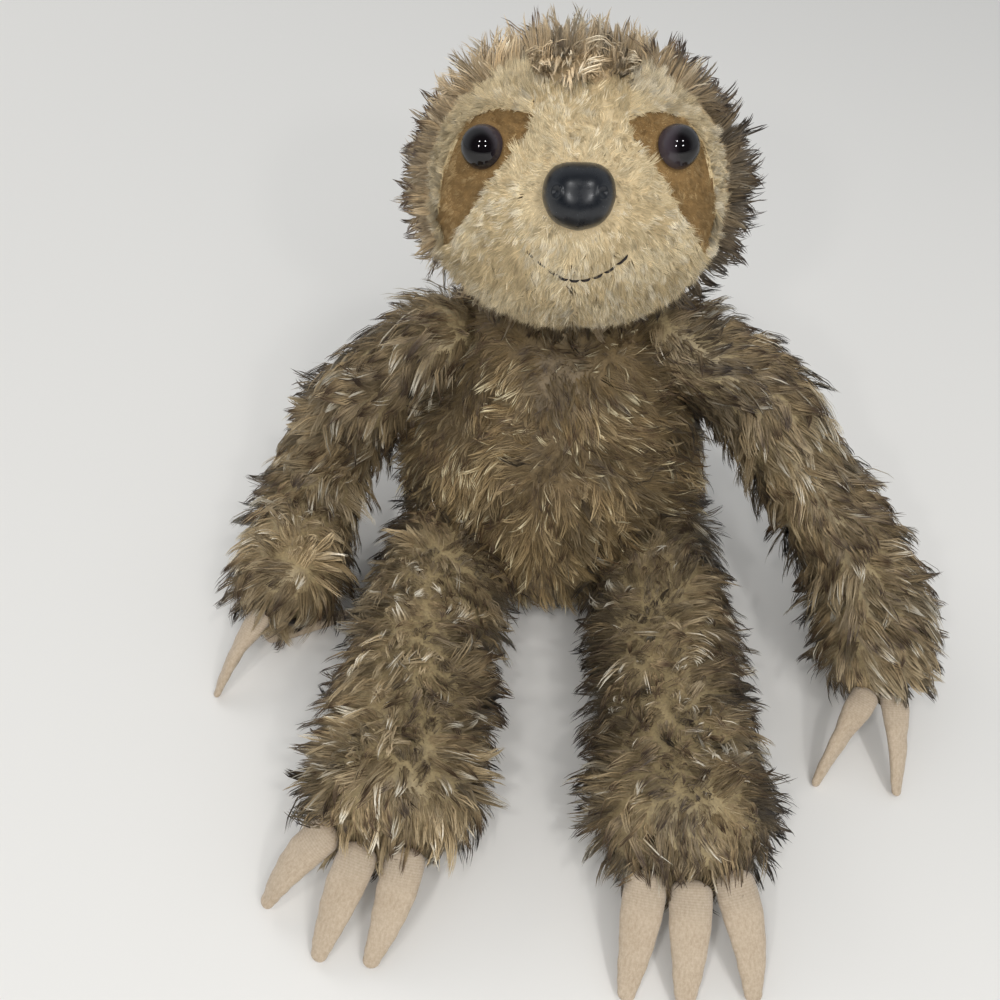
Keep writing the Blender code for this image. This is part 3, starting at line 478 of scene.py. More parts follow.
@dataclass
class ClawForm(Form):
    """A flat tapering claw in its own frame: X across, Y along it from the seam, Z up.

    It is widest at its gathered root and blunt at its tip. It may bend aside like a sickle, and turn about
    its own length.
    """

    length: float
    width: float
    thickness: float
    arch_share: float = 0.07
    sweep_share: float = 0.0
    roll: float = 0.0
    pleats: int = 26
    pleat_depth: float = 0.16 * MM
    pleat_end: float = 0.10
    roll_end: float = 0.45
    squareness: float = 0.8
    root_share: float = 0.14
    end_share: float = 0.92

    def place(self, u: Array, v: Array, offset: Offset) -> Array:
        """The points at these shares. v runs from the root to the tip."""
        at_root, slope, share = tube_shares(v, self.root_share, self.end_share)
        tip = self.width / 2 * CLAW_WIDTH[-1][1]
        along = share * (self.length - tip) + np.where(at_root, self.thickness / 2, tip) * np.sin(slope)
        wide = self.width / 2 * curve_value(CLAW_WIDTH, share) + offset
        tall = self.thickness / 2 * curve_value(CLAW_THICKNESS, share) + offset
        ring = FULL_TURN * u
        pleat = self.pleat_depth * np.cos(ring * self.pleats) * bell(share, self.pleat_end)
        aside = np.sign(np.cos(ring)) * np.abs(np.cos(ring)) ** self.squareness
        across = (wide + pleat) * np.cos(slope) * aside
        upward = (tall + pleat) * np.cos(slope) * np.sin(ring)
        turn = self.roll * smooth(0.0, self.roll_end, share)
        arch = self.arch_share * self.length * 4 * share * (1 - share)
        return np.stack([
            across * np.cos(turn) - upward * np.sin(turn) + self.sweep_share * self.length * share ** 2,
            along,
            across * np.sin(turn) + upward * np.cos(turn) + arch,
        ], axis=-1)


@dataclass(frozen=True)
class Pile:
    """How the fibres of one pile cloth stand, and what colours they run through from the backing to the tip.

    Guard hairs are long and stand in locks. The under hairs between them are shorter and more upright.
    """

    guard: int
    under: int
    length: float
    width: float
    lean: float
    lock: float
    gather: float
    root: str
    body: str
    light: str
    tip: str
    pale: str
    skin: str = "#dcc79b"
    dark_share: float = 0.6
    pale_share: float = 0.12
    cloud_size: float = 0.020
    cloud_depth: float = 0.30
    stray: float = 0.16
    curl: float = 0.16
    under_share: float = 0.70
    droop: float = 0.10
    clump: float = 0.35
    lock_depth: float = 0.07
    puff: float = 0.30
    own_puff: float = 0.09
    own_tone: float = 0.08


@dataclass(frozen=True)
class HairKind:
    """One kind of hair: the rings of its blade, and how its habit differs from the cloth's own numbers."""

    word: str
    ring_shares: tuple[float, ...]
    breadth_shares: tuple[float, ...]
    lean: float = 1.0
    stray: float = 1.0
    gather: float = 1.0
    width: float = 1.0


GUARD = HairKind("guard", (0.0, 0.48, 0.82), (0.8, 1.0, 0.82))
UNDER = HairKind("under", (0.0,), (1.0,), lean=0.75, stray=2.2, gather=0.5, width=0.9)

# Across a blade, each of a ring's three points stands aside and out by these shares of its half width.
BLADE_SECTION = ((-1, 0), (0, 0.8), (1, 0))
OWN_ROUNDNESS = 0.45
HAIR_FLOOR = 0.35 * MM

# On the map, the cloths' backings lie below SKIN_BAND, and each blade fills a part of its own cell above it.
UV_NAME = "OFBake"
SKIN_BAND = 0.12
MAP_COLUMNS = 128
CELL_FILL = 0.8


@dataclass
class Strands:
    """Blades of pile: where each starts, bends and ends, its width, its colours by ring, and its soft normal.

    A real lock has hundreds of fibres and shades as one soft body. So a blade takes most of its shading
    normal from its lock, and only a part from its own round side.
    """

    base: Array
    bend: Array
    tip: Array
    side: Array
    width: Array
    tones: Array
    soft: Array

    def only(self, kept: Array) -> Strands:
        """The blades that a row of true and false keeps."""
        return Strands(*(getattr(self, key.name)[kept] for key in fields(self)))

    def mesh(self, name: str, kind: HairKind, first_row: float, last_row: float) -> Thing:
        """Builds the blades as one mesh of closed, three-sided, tapering bodies.

        Args:
            name: the object's name.
            kind: how many rings of three points stand below each tip, and how broad they are.
            first_row: where the blades' cells start on the map, from 0 to 1.
            last_row: where they end.

        Returns:
            The object, with the tone attribute and a map that gives each blade its own cell.
        """
        count, rings = len(self.base), len(kind.ring_shares)
        points, normals = self.shaped(kind)
        faces, cells = self.blade_faces(rings)
        corner = np.concatenate([np.array(face) for face in faces])
        corners = (corner[None] + (np.arange(count) * (rings * 3 + 1))[:, None]).ravel()
        totals = np.tile([len(face) for face in faces], count)
        made = bpy.data.meshes.new(name)
        made.vertices.add(count * (rings * 3 + 1))
        made.vertices.foreach_set("co", points.astype(np.float32).ravel())
        made.loops.add(len(corners))
        made.loops.foreach_set("vertex_index", corners.astype(np.int32))
        made.polygons.add(len(totals))
        made.polygons.foreach_set("loop_start", (np.cumsum(totals) - totals).astype(np.int32))
        made.update(calc_edges=True)
        made.validate()
        tones = np.ones((count, rings * 3 + 1, 4))
        tones[:, :-1, :3] = np.repeat(self.tones[:, :rings], 3, axis=1)
        tones[:, -1, :3] = self.tones[:, rings]
        tone = made.attributes.new("tone", "FLOAT_COLOR", "POINT")
        tone.data.foreach_set("color", tones.astype(np.float32).ravel())
        spread = self.mapped(cells, count)
        spread[..., 1] = first_row + spread[..., 1] * (last_row - first_row)
        made.uv_layers.new(name=UV_NAME).uv.foreach_set("vector", spread.astype(np.float32).ravel())
        made.shade_smooth()
        made.normals_split_custom_set_from_vertices(normals.reshape(-1, 3).tolist())
        thing = bpy.data.objects.new(name, made)
        bpy.context.scene.collection.objects.link(thing)
        return thing

    def shaped(self, kind: HairKind) -> tuple[Array, Array]:
        """Each blade's points, ring by ring and its tip last, and the normals that shade them."""
        rings = len(kind.ring_shares)
        points = np.zeros((len(self.base), rings * 3 + 1, 3))
        normals = np.zeros_like(points)
        for i, (t, wide) in enumerate(zip(kind.ring_shares, kind.breadth_shares)):
            middle = self.base * (1 - t) ** 2 + self.bend * (2 * t * (1 - t)) + self.tip * t ** 2
            way = unit((self.bend - self.base) * (1 - t) + (self.tip - self.bend) * t)
            outward = unit(np.cross(self.side, way))
            half = (self.width * wide / 2)[:, None]
            for k, (aside, out) in enumerate(BLADE_SECTION):
                points[:, i * 3 + k] = middle + self.side * half * aside + outward * half * out
                normals[:, i * 3 + k] = unit(self.soft + self.side * aside * OWN_ROUNDNESS)
        points[:, -1] = self.tip
        normals[:, -1] = self.soft
        points[..., 2] = np.maximum(points[..., 2], HAIR_FLOOR)
        return points, normals

    @staticmethod
    def mapped(cells: Array, count: int) -> Array:
        """Each blade's corners on the map, laid out in rows of cells from 0 to 1."""
        order, rows = np.arange(count), math.ceil(count / MAP_COLUMNS)
        cell = np.stack([order % MAP_COLUMNS / MAP_COLUMNS, order // MAP_COLUMNS / rows], axis=1)
        return cells[None] * np.array([CELL_FILL / MAP_COLUMNS, CELL_FILL / rows]) + cell[:, None]

    @staticmethod
    def blade_faces(rings: int) -> tuple[list[tuple[int, ...]], Array]:
        """The faces of one blade by corner number, and each corner's place in the blade's cell of the map."""
        faces, cells = [], []
        for i in range(rings):
            low, high = i / rings, (i + 1) / rings
            for k in range(3):
                after = (k + 1) % 3
                left, right = k / 3, (k + 1) / 3
                if i == rings - 1:
                    faces.append((i * 3 + k, i * 3 + after, rings * 3))
                    cells += [(left, low), (right, low), ((left + right) / 2, 1.0)]
                else:
                    faces.append((i * 3 + k, i * 3 + after, i * 3 + 3 + after, i * 3 + 3 + k))
                    cells += [(left, low), (right, low), (right, high), (left, high)]
        faces.append((0, 2, 1))
        cells += [(0.0, 0.0), (0.66, 0.0), (0.33, 0.02)]
        return faces, np.array(cells)


def mixed(first: Array, second: Array, share: float) -> Array:
    """A blend of two values."""
    return first * (1 - share) + second * share


FEWEST_LOCKS = 12


class Coat:
    """A pile that grows on a form.

    The hairs stand in locks. A lock's tips draw together, and each lock has its own length, curl and tone.
    """

    def __init__(
        self, form: Form, pile: Pile, flow: Flow, keep: Mask, seed: int, start: float,
        trim: Mask | None = None, shade: Mask | None = None,
    ) -> None:
        """Sets out the locks.

        Args:
            form: what the cloth covers.
            pile: the cloth.
            flow: gives the nap's way from the points, their normals, and the ways round and along the form.
            keep: tells from points and normals where the cloth is.
            seed: starts the random numbers.
            start: how far outside the backing the strands begin.
            trim: how long each strand is, as a share, from points and normals. None leaves them whole.
            shade: the painted light and shade: how light each lock is, about 1, from points and normals.
                Below 1 more tips are dark too.
        """
        self.form, self.pile, self.flow, self.keep = form, pile, flow, keep
        self.seed, self.start, self.trim = seed, start, trim
        self.draw = np.random.default_rng(seed)
        base, normal, way, upright = self.roots(max(FEWEST_LOCKS, int(form.area(keep) / pile.lock ** 2)))
        count = len(base)
        swerve = wander(base, pile.lock * 2.2, seed + 0.37) * 0.6
        way = unit(way + swerve - normal * (swerve * normal).sum(axis=1, keepdims=True))
        self.length = pile.length * (0.74 + 0.62 * self.draw.random(count) ** 1.7)
        self.lean = pile.lean * upright + self.draw.normal(0, 0.18, count)
        self.curl = self.draw.normal(0, pile.curl, count)
        self.base, self.way = base, way
        across = np.cross(normal, way)
        self.tip = base + self.length[:, None] * (
            normal * np.cos(self.lean)[:, None] + way * np.sin(self.lean)[:, None]
            + across * self.curl[:, None] * 0.8
        )
        self.tip[:, 2] -= pile.droop * self.length
        self.puff = self.draw.normal(0, pile.puff, (count, 3))
        cloud = wander(base, pile.cloud_size, seed + 5.1)
        shaded = np.ones(count) if shade is None else shade(base, normal)
        own_tone = self.draw.normal(0, pile.lock_depth, count)
        self.tone = np.clip(1 + pile.cloud_depth * 1.5 * cloud[:, 0] + own_tone, 0.5, 1.6)
        # Painted light and shade: the shade lightens or darkens each lock.
        self.tone *= shaded
        self.dark = pile.dark_share + 1.6 * cloud[:, 1] + np.where(shaded > 1, 3.5, 1.6) * (1 - shaded)
        self.pale = pile.pale_share * np.clip(1 + 4.0 * cloud[:, 2], 0, 3)
        self.luck = self.draw.random(count)
        self.tree = kdtree.KDTree(count)
        for i, point in enumerate(base):
            self.tree.insert(Vector(point), i)
        self.tree.balance()

    def roots(self, count: int) -> tuple[Array, Array, Array, Array]:
        """Draws places on the cloth.

        Args:
            count: how many are wanted.

        Returns:
            The places, their normals, the way the nap lies there, and how far it leans of its full lean.
        """
        u, v = self.form.scatter(int(count * 1.3) + 50, self.draw, self.keep)
        base = self.form.place(u, v, self.start)
        around, along = self.form.steps(u, v, self.start)
        normal = unit(np.cross(around, along))
        good = np.flatnonzero(self.keep(base, normal))[:count]
        base, normal = base[good], normal[good]
        way = self.flow(base, normal, around[good], along[good])
        way = way - normal * (way * normal).sum(axis=1, keepdims=True)
        return base, normal, unit(way), np.clip(np.linalg.norm(way, axis=1), 0.3, 1.7)

    def hairs(self, count: int, kind: HairKind) -> Strands:
        """Grows hairs.

        Args:
            count: how many.
            kind: long guard hairs or short under hairs.

        Returns:
            The hairs.
        """
        pile, draw = self.pile, self.draw
        base, normal, way, _ = self.roots(count)
        count = len(base)
        own = np.array([self.tree.find(Vector(p))[1] for p in base])
        if kind is GUARD:
            shift = (self.base[own] - base) * pile.clump
            base = base + shift - normal * (shift * normal).sum(axis=1, keepdims=True)
        length = self.length[own] * (0.80 + 0.32 * draw.random(count))
        if kind is UNDER:
            length *= pile.under_share
        if self.trim is not None:
            length = length * self.trim(base, normal)
        lean = self.lean[own] * kind.lean + draw.normal(0, pile.stray, count)
        way = unit(way + self.way[own] * 1.6 + draw.normal(0, pile.stray * kind.stray, (count, 3)))
        across = unit(np.cross(normal, way))
        curl = self.curl[own] + draw.normal(0, pile.curl * 0.4, count)
        free = base + length[:, None] * (normal * np.cos(lean)[:, None] + way * np.sin(lean)[:, None])
        free += across * (curl * length)[:, None] * 0.8
        free[:, 2] -= pile.droop * length
        full = np.clip(length / self.length[own], 0, 1)
        goal = base + (self.tip[own] - base) * full[:, None] + draw.normal(0, pile.lock * 0.07, (count, 3))
        pull = pile.gather * kind.gather * np.clip(draw.normal(1, 0.22, count), 0, 1.2)
        tip = free + (goal - free) * pull[:, None]
        bend = (
            base + normal * (length * (0.30 + 0.30 * np.cos(lean)))[:, None] + way * (length * 0.14)[:, None]
            - across * (curl * length)[:, None] * 0.55
        )
        side = unit(np.cross(way, normal) + draw.normal(0, 0.3, (count, 3)))
        ahead = unit(tip - base)
        side = unit(side - ahead * (side * ahead).sum(axis=1, keepdims=True))
        width = pile.width * (0.6 + 0.8 * draw.random(count)) * kind.width
        soft = unit(normal + self.puff[own] + draw.normal(0, pile.own_puff, (count, 3)))
        return Strands(base, bend, tip, side, width, self.tones(own, kind), soft)

    def tones(self, own: Array, kind: HairKind) -> Array:
        """The colours of each hair by ring: tan below, then dark, plain or pale towards the tip."""
        pile, draw = self.pile, self.draw
        count = len(own)
        root, body, light, tip, pale = (
            linear(colour) for colour in (pile.root, pile.body, pile.light, pile.tip, pile.pale)
        )
        plain = np.array([root, body, light, light])
        dark = np.array([root, body, mixed(body, tip, 0.92), tip])
        bright = np.array([body, light, pale, pale])
        luck = self.luck[own] + draw.normal(0, 0.10, count)
        found = np.where((luck < self.dark[own])[:, None, None], dark, plain)
        found = np.where((luck > 1 - self.pale[own])[:, None, None], bright, found)
        found = found * (self.tone[own] * (1 + pile.own_tone * (2 * draw.random(count) - 1)))[:, None, None]
        if kind is GUARD:
            return found
        if not pile.guard:
            return found[:, [1, 3]]
        return mixed(found[:, [1, 2]], plain[[1, 2]][None] * self.tone[own][:, None, None], 0.7)

    def meshes(self, name: str, kept: Inside | None = None) -> list[Thing]:
        """The guard and the under hairs as meshes. kept tells from the roots which stay."""
        made = []
        middle = mixed(SKIN_BAND, 1.0, 0.5) if self.pile.guard else SKIN_BAND
        for kind, count, low, high in (
            (GUARD, self.pile.guard, SKIN_BAND, middle), (UNDER, self.pile.under, middle, 1.0),
        ):
            if count:
                hairs = self.hairs(count, kind)
                if kept is not None:
                    hairs = hairs.only(kept(hairs.base))
                made.append(hairs.mesh(f"{name}_{kind.word}_hair", kind, low, high))
        return made


def deselect() -> None:
    """Leaves nothing selected, because an operator acts on all that is."""
    if bpy.context.object and bpy.context.object.mode != "OBJECT":
        bpy.ops.object.mode_set(mode="OBJECT")
    bpy.ops.object.select_all(action="DESELECT")


def select(thing: Thing) -> Thing:
    """Leaves only this object selected and active."""
    deselect()
    thing.select_set(True)
    bpy.context.view_layer.objects.active = thing
    return thing


def apply_modifier(thing: Thing, kind: str, **settings: object) -> Thing:
    """Adds a modifier with these settings and applies it."""
    select(thing)
    step = thing.modifiers.new(kind.lower(), kind)
    for name, value in settings.items():
        setattr(step, name, value)
    bpy.ops.object.modifier_apply(modifier=step.name)
    return thing


def edited(thing: Thing, step: Callable, **settings: object) -> Thing:
    """Runs an operator of the edit mode on all of a mesh."""
    select(thing)
    bpy.ops.object.mode_set(mode="EDIT")
    bpy.ops.mesh.select_all(action="SELECT")
    step(**settings)
    bpy.ops.object.mode_set(mode="OBJECT")
    return thing


def face_outward(thing: Thing) -> Thing:
    """Turns every face of a closed mesh outwards."""
    return edited(thing, bpy.ops.mesh.normals_make_consistent, inside=False)


def coordinates(thing: Thing) -> Array:
    """The vertices of a mesh as rows of a matrix."""
    points = np.zeros(len(thing.data.vertices) * 3, np.float32)
    thing.data.vertices.foreach_get("co", points)
    return points.reshape(-1, 3).astype(float)


def move_to(thing: Thing, points: Array) -> Thing:
    """Puts the vertices of a mesh at new places."""
    thing.data.vertices.foreach_set("co", points.astype(np.float32).ravel())
    thing.data.update()
    return thing


class Fineness(Enum):
    """How many faces a ball has round it and from pole to pole, by what is shaped from it."""

    TORSO = (72, 48)
    HEAD = (96, 64)
    FACE_CLOTH = (200, 130)
    SLEEVE = (56, 72)
    CLAW = (52, 60)
    EYE = (64, 40)
    NOSE = (128, 90)
    STITCH = (12, 16)
    NECK = (40, 24)
    SEAT = (32, 16)


# Where the backings and the neck's root lie in the map's free band.
BACKING_ROWS = (0.0, 0.92)
NECK_ROWS = (0.93, 0.99)


def new_sphere(name: str, fineness: Fineness) -> Thing:
    """A ball of radius one at the origin, from which a closed form is shaped."""
    around, rings = fineness.value
    deselect()
    bpy.ops.mesh.primitive_uv_sphere_add(segments=around, ring_count=rings, radius=1)
    made = bpy.context.object
    made.name = made.data.name = name
    made.data.uv_layers[0].name = UV_NAME
    return made


def wrapped(name: str, form: Form, offset: Lift, fineness: Fineness) -> Thing:
    """A ball drawn over a form.

    Args:
        name: the object's name.
        form: the form.
        offset: how far outside the backing it lies, or a function of the shares that says so.
        fineness: how finely the ball is cut.

    Returns:
        The closed mesh.
    """
    made = new_sphere(name, fineness)
    ball = coordinates(made)
    u = np.arctan2(ball[:, 1], ball[:, 0]) / FULL_TURN
    v = 1 - np.arccos(np.clip(ball[:, 2], -1, 1)) / math.pi
    move_to(made, form.place(u, v, offset(u, v) if callable(offset) else offset))
    map_to_band(made, BACKING_ROWS)
    made.data.shade_smooth()
    return face_outward(made)


def map_to_band(thing: Thing, rows: Pair) -> None:
    """Lays a cloth's own map between two shares of the band that the blades leave free."""
    low, high = rows
    layer = thing.data.uv_layers[UV_NAME]
    places = np.zeros(len(thing.data.loops) * 2, np.float32)
    layer.uv.foreach_get("vector", places)
    places = places.reshape(-1, 2)
    places[:, 1] = SKIN_BAND * (low + places[:, 1] * (high - low))
    layer.uv.foreach_set("vector", places.ravel())


def lift_off_floor(thing: Thing, level: float) -> Thing:
    """Flattens what would lie under a level, as a stuffed form does where it rests."""
    points = coordinates(thing)
    points[:, 2] = np.maximum(points[:, 2], level)
    return move_to(thing, points)


def cut_ball(thing: Thing, middle: Iterable[float], radius: float) -> Thing:
    """Cuts a round seat into a closed mesh."""
    around, rings = Fineness.SEAT.value
    deselect()
    bpy.ops.mesh.primitive_uv_sphere_add(
        segments=around, ring_count=rings, radius=radius, location=tuple(middle)
    )
    cutter = bpy.context.object
    apply_modifier(thing, "BOOLEAN", operation="DIFFERENCE", object=cutter, solver="EXACT")
    bpy.data.objects.remove(cutter)
    return thing


def keep_half(thing: Thing, level: float, front: bool) -> Thing:
    """Cuts a closed mesh square across Y at a level and closes the cut."""
    return edited(
        thing, bpy.ops.mesh.bisect, plane_co=(0, level, 0), plane_no=(0, 1, 0), use_fill=True,
        clear_outer=front, clear_inner=not front,
    )


def dyed(thing: Thing, hex_colour: str) -> Thing:
    """Gives a cloth one tone all over, in the attribute that the pile's material reads."""
    tones = np.ones((len(thing.data.vertices), 4), np.float32)
    tones[:, :3] = linear(hex_colour)
    made = thing.data.attributes.get("tone") or thing.data.attributes.new("tone", "FLOAT_COLOR", "POINT")
    made.data.foreach_set("color", tones.ravel())
    return thing


def joined(name: str, things: list[Thing]) -> Thing:
    """Joins meshes into one object with this name."""
    deselect()
    for thing in things:
        thing.select_set(True)
    bpy.context.view_layer.objects.active = things[0]
    bpy.ops.object.join()
    made = bpy.context.object
    made.name = made.data.name = name
    return made


class NodeTree:
    """A node tree under construction, with one way to add a node."""

    def __init__(self, tree: bpy.types.NodeTree) -> None:
        """Takes up a tree."""
        self.tree = tree

    def add(self, kind: str, settings: dict | None = None, **links: object) -> bpy.types.Node:
        """Adds a node.

        Args:
            kind: Blender's name for the node's type.
            settings: its properties by name.
            **links: its inputs by name, with _ for a space: a socket to link, or a value.

        Returns:
            The node.
        """
        node = self.tree.nodes.new(kind)
        for name, value in (settings or {}).items():
            setattr(node, name, value)
        for name, value in links.items():
            self.feed(node, name, value)
        return node

    def feed(self, node: bpy.types.Node, name: str, value: object) -> None:
        """Sets or links one input of a node."""
        key = int(name[1:]) if name.startswith("_") and name[1:].isdigit() else name.replace("_", " ")
        socket = node.inputs[key]
        if isinstance(value, Socket):
            self.tree.links.new(value, socket)
        elif isinstance(value, Array):
            socket.default_value = (*value, 1.0)
        else:
            socket.default_value = value

    def blend(self, share: object, first: object, second: object, kind: str = "MIX") -> Socket:
        """Adds a mix of two colours, of Blender's kind of that name, and gives its result."""
        settings = {"data_type": "RGBA", "blend_type": kind}
        return self.add("ShaderNodeMix", settings, _0=share, _6=first, _7=second).outputs[2]

    def spread(
        self, value: Socket, before: Pair = (0, 1), after: Pair = (0, 1), kind: str = "LINEAR"
    ) -> Socket:
        """Spreads a value's range before over the range after, and gives the result."""
        node = self.add("ShaderNodeMapRange", {"interpolation_type": kind}, Value=value)
        for name, number in zip(("From_Min", "From_Max", "To_Min", "To_Max"), (*before, *after)):
            self.feed(node, name, number)
        return node.outputs["Result"]


class MaterialTree(NodeTree):
    """A material under construction, with a Principled shader."""

    def __init__(self, name: str) -> None:
        """Starts the material."""
        self.material = bpy.data.materials.new(name)
        self.material.use_nodes = True
        super().__init__(self.material.node_tree)
        self.shader = self.tree.nodes["Principled BSDF"]

    def place(self) -> Socket:
        """A point's place on the object, in metres."""
        return self.add("ShaderNodeTexCoord").outputs["Object"]

    def noise(self, place: Socket, size: float, **links: object) -> Socket:
        """Adds a noise whose clouds have this size in metres, and gives its value."""
        return self.add("ShaderNodeTexNoise", Vector=place, Scale=1 / size, **links).outputs["Fac"]

    def maths(self, operation: str, *values: object) -> Socket:
        """Adds a sum or the like of these values, and gives its result."""
        links = {f"_{i}": value for i, value in enumerate(values)}
        return self.add("ShaderNodeMath", {"operation": operation}, **links).outputs["Value"]

    def tinted(self, colour: Array, level: Socket) -> Socket:
        """Multiplies a colour by a level."""
        return self.blend(1.0, colour, level, "MULTIPLY")

    def bumped(self, height: Socket, strength: float, depth: float) -> Socket:
        """Adds a bump of this depth in metres, and gives its normal."""
        return self.add("ShaderNodeBump", Height=height, Strength=strength, Distance=depth).outputs["Normal"]

    def surface(self, **links: object) -> None:
        """Sets or links inputs of the Principled shader."""
        for name, value in links.items():
            self.feed(self.shader, name, value)


# Nearly all of a noise's values lie in this range.
NOISE_RANGE = (0.3, 0.7)
# A wave texture of scale 1 has bands this far apart.
WAVE_SCALE = FULL_TURN / 20


class Finish:
    """A finish, which paints a material of its own name."""

    name: str

    def made(self) -> bpy.types.Material:
        """The material."""
        tree = MaterialTree(self.name)
        self.paint(tree)
        return tree.material

    def paint(self, tree: MaterialTree) -> None:
        """Adds the finish's nodes."""
        raise NotImplementedError


@dataclass(frozen=True)
class PileFibre(Finish):
    """Polyester pile: matt acrylic-like fibre with a soft shine along each lock.

    The tone comes from each blade's own colours. A fine grain varies it, as single fibres in a lock do.
    """

    name: str
    roughness: float
    shine: float
    grain: float = 1.1 * MM
    grain_depth: float = 0.22

    def paint(self, tree: MaterialTree) -> None:
        """Adds the finish's nodes."""
        tone = tree.add("ShaderNodeAttribute", {"attribute_name": "tone"})
        grain = tree.noise(tree.place(), self.grain, Detail=3.0, Roughness=0.6)
        level = tree.spread(grain, NOISE_RANGE, (1 - self.grain_depth, 1 + self.grain_depth))
        varied = tree.add(
            "ShaderNodeVectorMath", {"operation": "SCALE"}, _0=tone.outputs["Color"], Scale=level
        )
        tree.surface(
            Base_Color=varied.outputs["Vector"], Roughness=self.roughness, Specular_IOR_Level=self.shine,
            Sheen_Weight=0.03, Sheen_Roughness=0.5,
        )


@dataclass(frozen=True)
class Fleece(Finish):
    """Knitted polyester fleece, brushed: matt and pale, with flecks of nap, and knit that shows at the root.

    The knit's real courses are 0.6 mm apart. They are drawn at 0.9 mm, so that they show.
    """

    name: str = "brushed_polyester_fleece"
    light: str = "#c8b7a1"
    dark: str = "#a6937c"
    fleck: float = 0.9 * MM
    course: float = 0.9 * MM
    cloud: float = 9 * MM
    root_rows: Pair = (3 * MM, 11 * MM)
    root_depths: Pair = (0.22, 0.04)

    def paint(self, tree: MaterialTree) -> None:
        """Adds the finish's nodes."""
        place = tree.add("ShaderNodeUVMap", {"uv_map": "knit"}).outputs["UV"]
        stretched = tree.add("ShaderNodeMapping", Vector=place, Scale=(1.0, 0.5, 1.0)).outputs["Vector"]
        fleck = tree.noise(stretched, self.fleck, Detail=3.0, Roughness=0.7)
        course = tree.add(
            "ShaderNodeTexWave", {"bands_direction": "Y"}, Vector=place, Scale=WAVE_SCALE / self.course,
            Distortion=5.0, Detail=2.0, Detail_Scale=0.25 / MM,
        )
        along = tree.add("ShaderNodeSeparateXYZ", Vector=place).outputs["Y"]
        near_root = tree.spread(along, self.root_rows, self.root_depths)
        relief = tree.maths("ADD", fleck, tree.maths("MULTIPLY", course.outputs["Fac"], near_root))
        cloud = tree.noise(tree.place(), self.cloud, Detail=1.0)
        share = tree.spread(tree.maths("MULTIPLY_ADD", cloud, 0.25, relief), (0.40, 1.0))
        colour = tree.blend(share, linear(self.dark), linear(self.light))
        tree.surface(
            Base_Color=colour, Normal=tree.bumped(relief, 0.6, 0.4 * MM), Roughness=0.95,
            Specular_IOR_Level=0.15, Sheen_Weight=0.25, Sheen_Roughness=0.45,
        )


@dataclass(frozen=True)
class Moulded(Finish):
    """Injection-moulded plastic, polished or slightly worn: a dark body with a sharp or a soft shine."""

    name: str
    colour: str
    roughness: float
    wear: float = 0.0
    speck: str | None = None
    rim: str | None = None
    haze: float = 2.5 * MM
    dust: float = 1.1 * MM

    def paint(self, tree: MaterialTree) -> None:
        """Adds the finish's nodes."""
        place = tree.place()
        haze = tree.noise(place, self.haze, Detail=5.0)
        tree.surface(
            Base_Color=self.tone(tree, place, haze), Specular_IOR_Level=0.5,
            Roughness=tree.spread(haze, NOISE_RANGE, (self.roughness, self.roughness + self.wear)),
        )

    def tone(self, tree: MaterialTree, place: Socket, haze: Socket) -> Socket:
        """The colour: paler at a rim, which on the eye is partly a painted reflection, or with specks where
        the haze is thick, or varied by the haze.
        """
        body = linear(self.colour)
        if self.rim is not None:
            edge = tree.add("ShaderNodeAttribute", {"attribute_name": "rim"})
            return tree.blend(edge.outputs["Fac"], body, linear(self.rim))
        if self.speck is None:
            return tree.tinted(body, tree.spread(haze, after=(0.8, 1.25)))
        dust = tree.add("ShaderNodeTexVoronoi", Vector=place, Scale=1 / self.dust)
        dot = tree.spread(dust.outputs["Distance"], (0.05, 0.14), (0.55, 0.0))
        amount = tree.maths("MULTIPLY", dot, tree.spread(haze, (0.52, 0.62)))
        return tree.blend(amount, body, linear(self.speck))


@dataclass(frozen=True)
class SpunThread(Finish):
    """Twisted polyester thread: dark, with fine turns along it."""

    name: str = "twisted_black_thread"
    colour: str = "#1c1512"
    twist: float = 0.5 * MM

    def paint(self, tree: MaterialTree) -> None:
        """Adds the finish's nodes."""
        turns = tree.add(
            "ShaderNodeTexWave", {"bands_direction": "DIAGONAL"}, Vector=tree.place(),
            Scale=1 / self.twist / 6, Distortion=1.0,
        ).outputs["Fac"]
        colour = tree.tinted(linear(self.colour), tree.spread(turns, after=(0.6, 1.9)))
        tree.surface(Base_Color=colour, Normal=tree.bumped(turns, 0.6, 0.1 * MM), Roughness=0.6)


@dataclass(frozen=True)
class LooseFilling(Finish):
    """Polyester fibre filling or a plain woven pouch: white or off-white, broken up by fibre or weave."""

    name: str
    colour: str
    grain: float

    def paint(self, tree: MaterialTree) -> None:
        """Adds the finish's nodes."""
        fibre = tree.noise(tree.place(), self.grain, Detail=6.0, Distortion=1.5)
        colour = tree.tinted(linear(self.colour), tree.spread(fibre, after=(0.75, 1.1)))
        tree.surface(Base_Color=colour, Normal=tree.bumped(fibre, 0.7, self.grain / 2), Roughness=0.95)


FUR_FIBRE = PileFibre("long_pile_fur", roughness=0.44, shine=0.46)
FACE_FIBRE = PileFibre("short_face_plush", roughness=0.75, shine=0.25, grain=0.8 * MM, grain_depth=0.08)
PATCH_FIBRE = PileFibre("brown_velour", roughness=0.8, shine=0.2, grain=0.7 * MM, grain_depth=0.14)

CLAW_FLEECE = Fleece()
MOUTH_THREAD = SpunThread()
# The eyes' violet-grey rim is partly their own iris rim and partly a painted reflection of the room.
EYE_PLASTIC = Moulded("polished_black_eye", "#0d0a0c", 0.04, 0.03, rim="#40383d")
NOSE_PLASTIC = Moulded("moulded_black_nose", "#171a1f", 0.24, 0.12, "#8f9399")
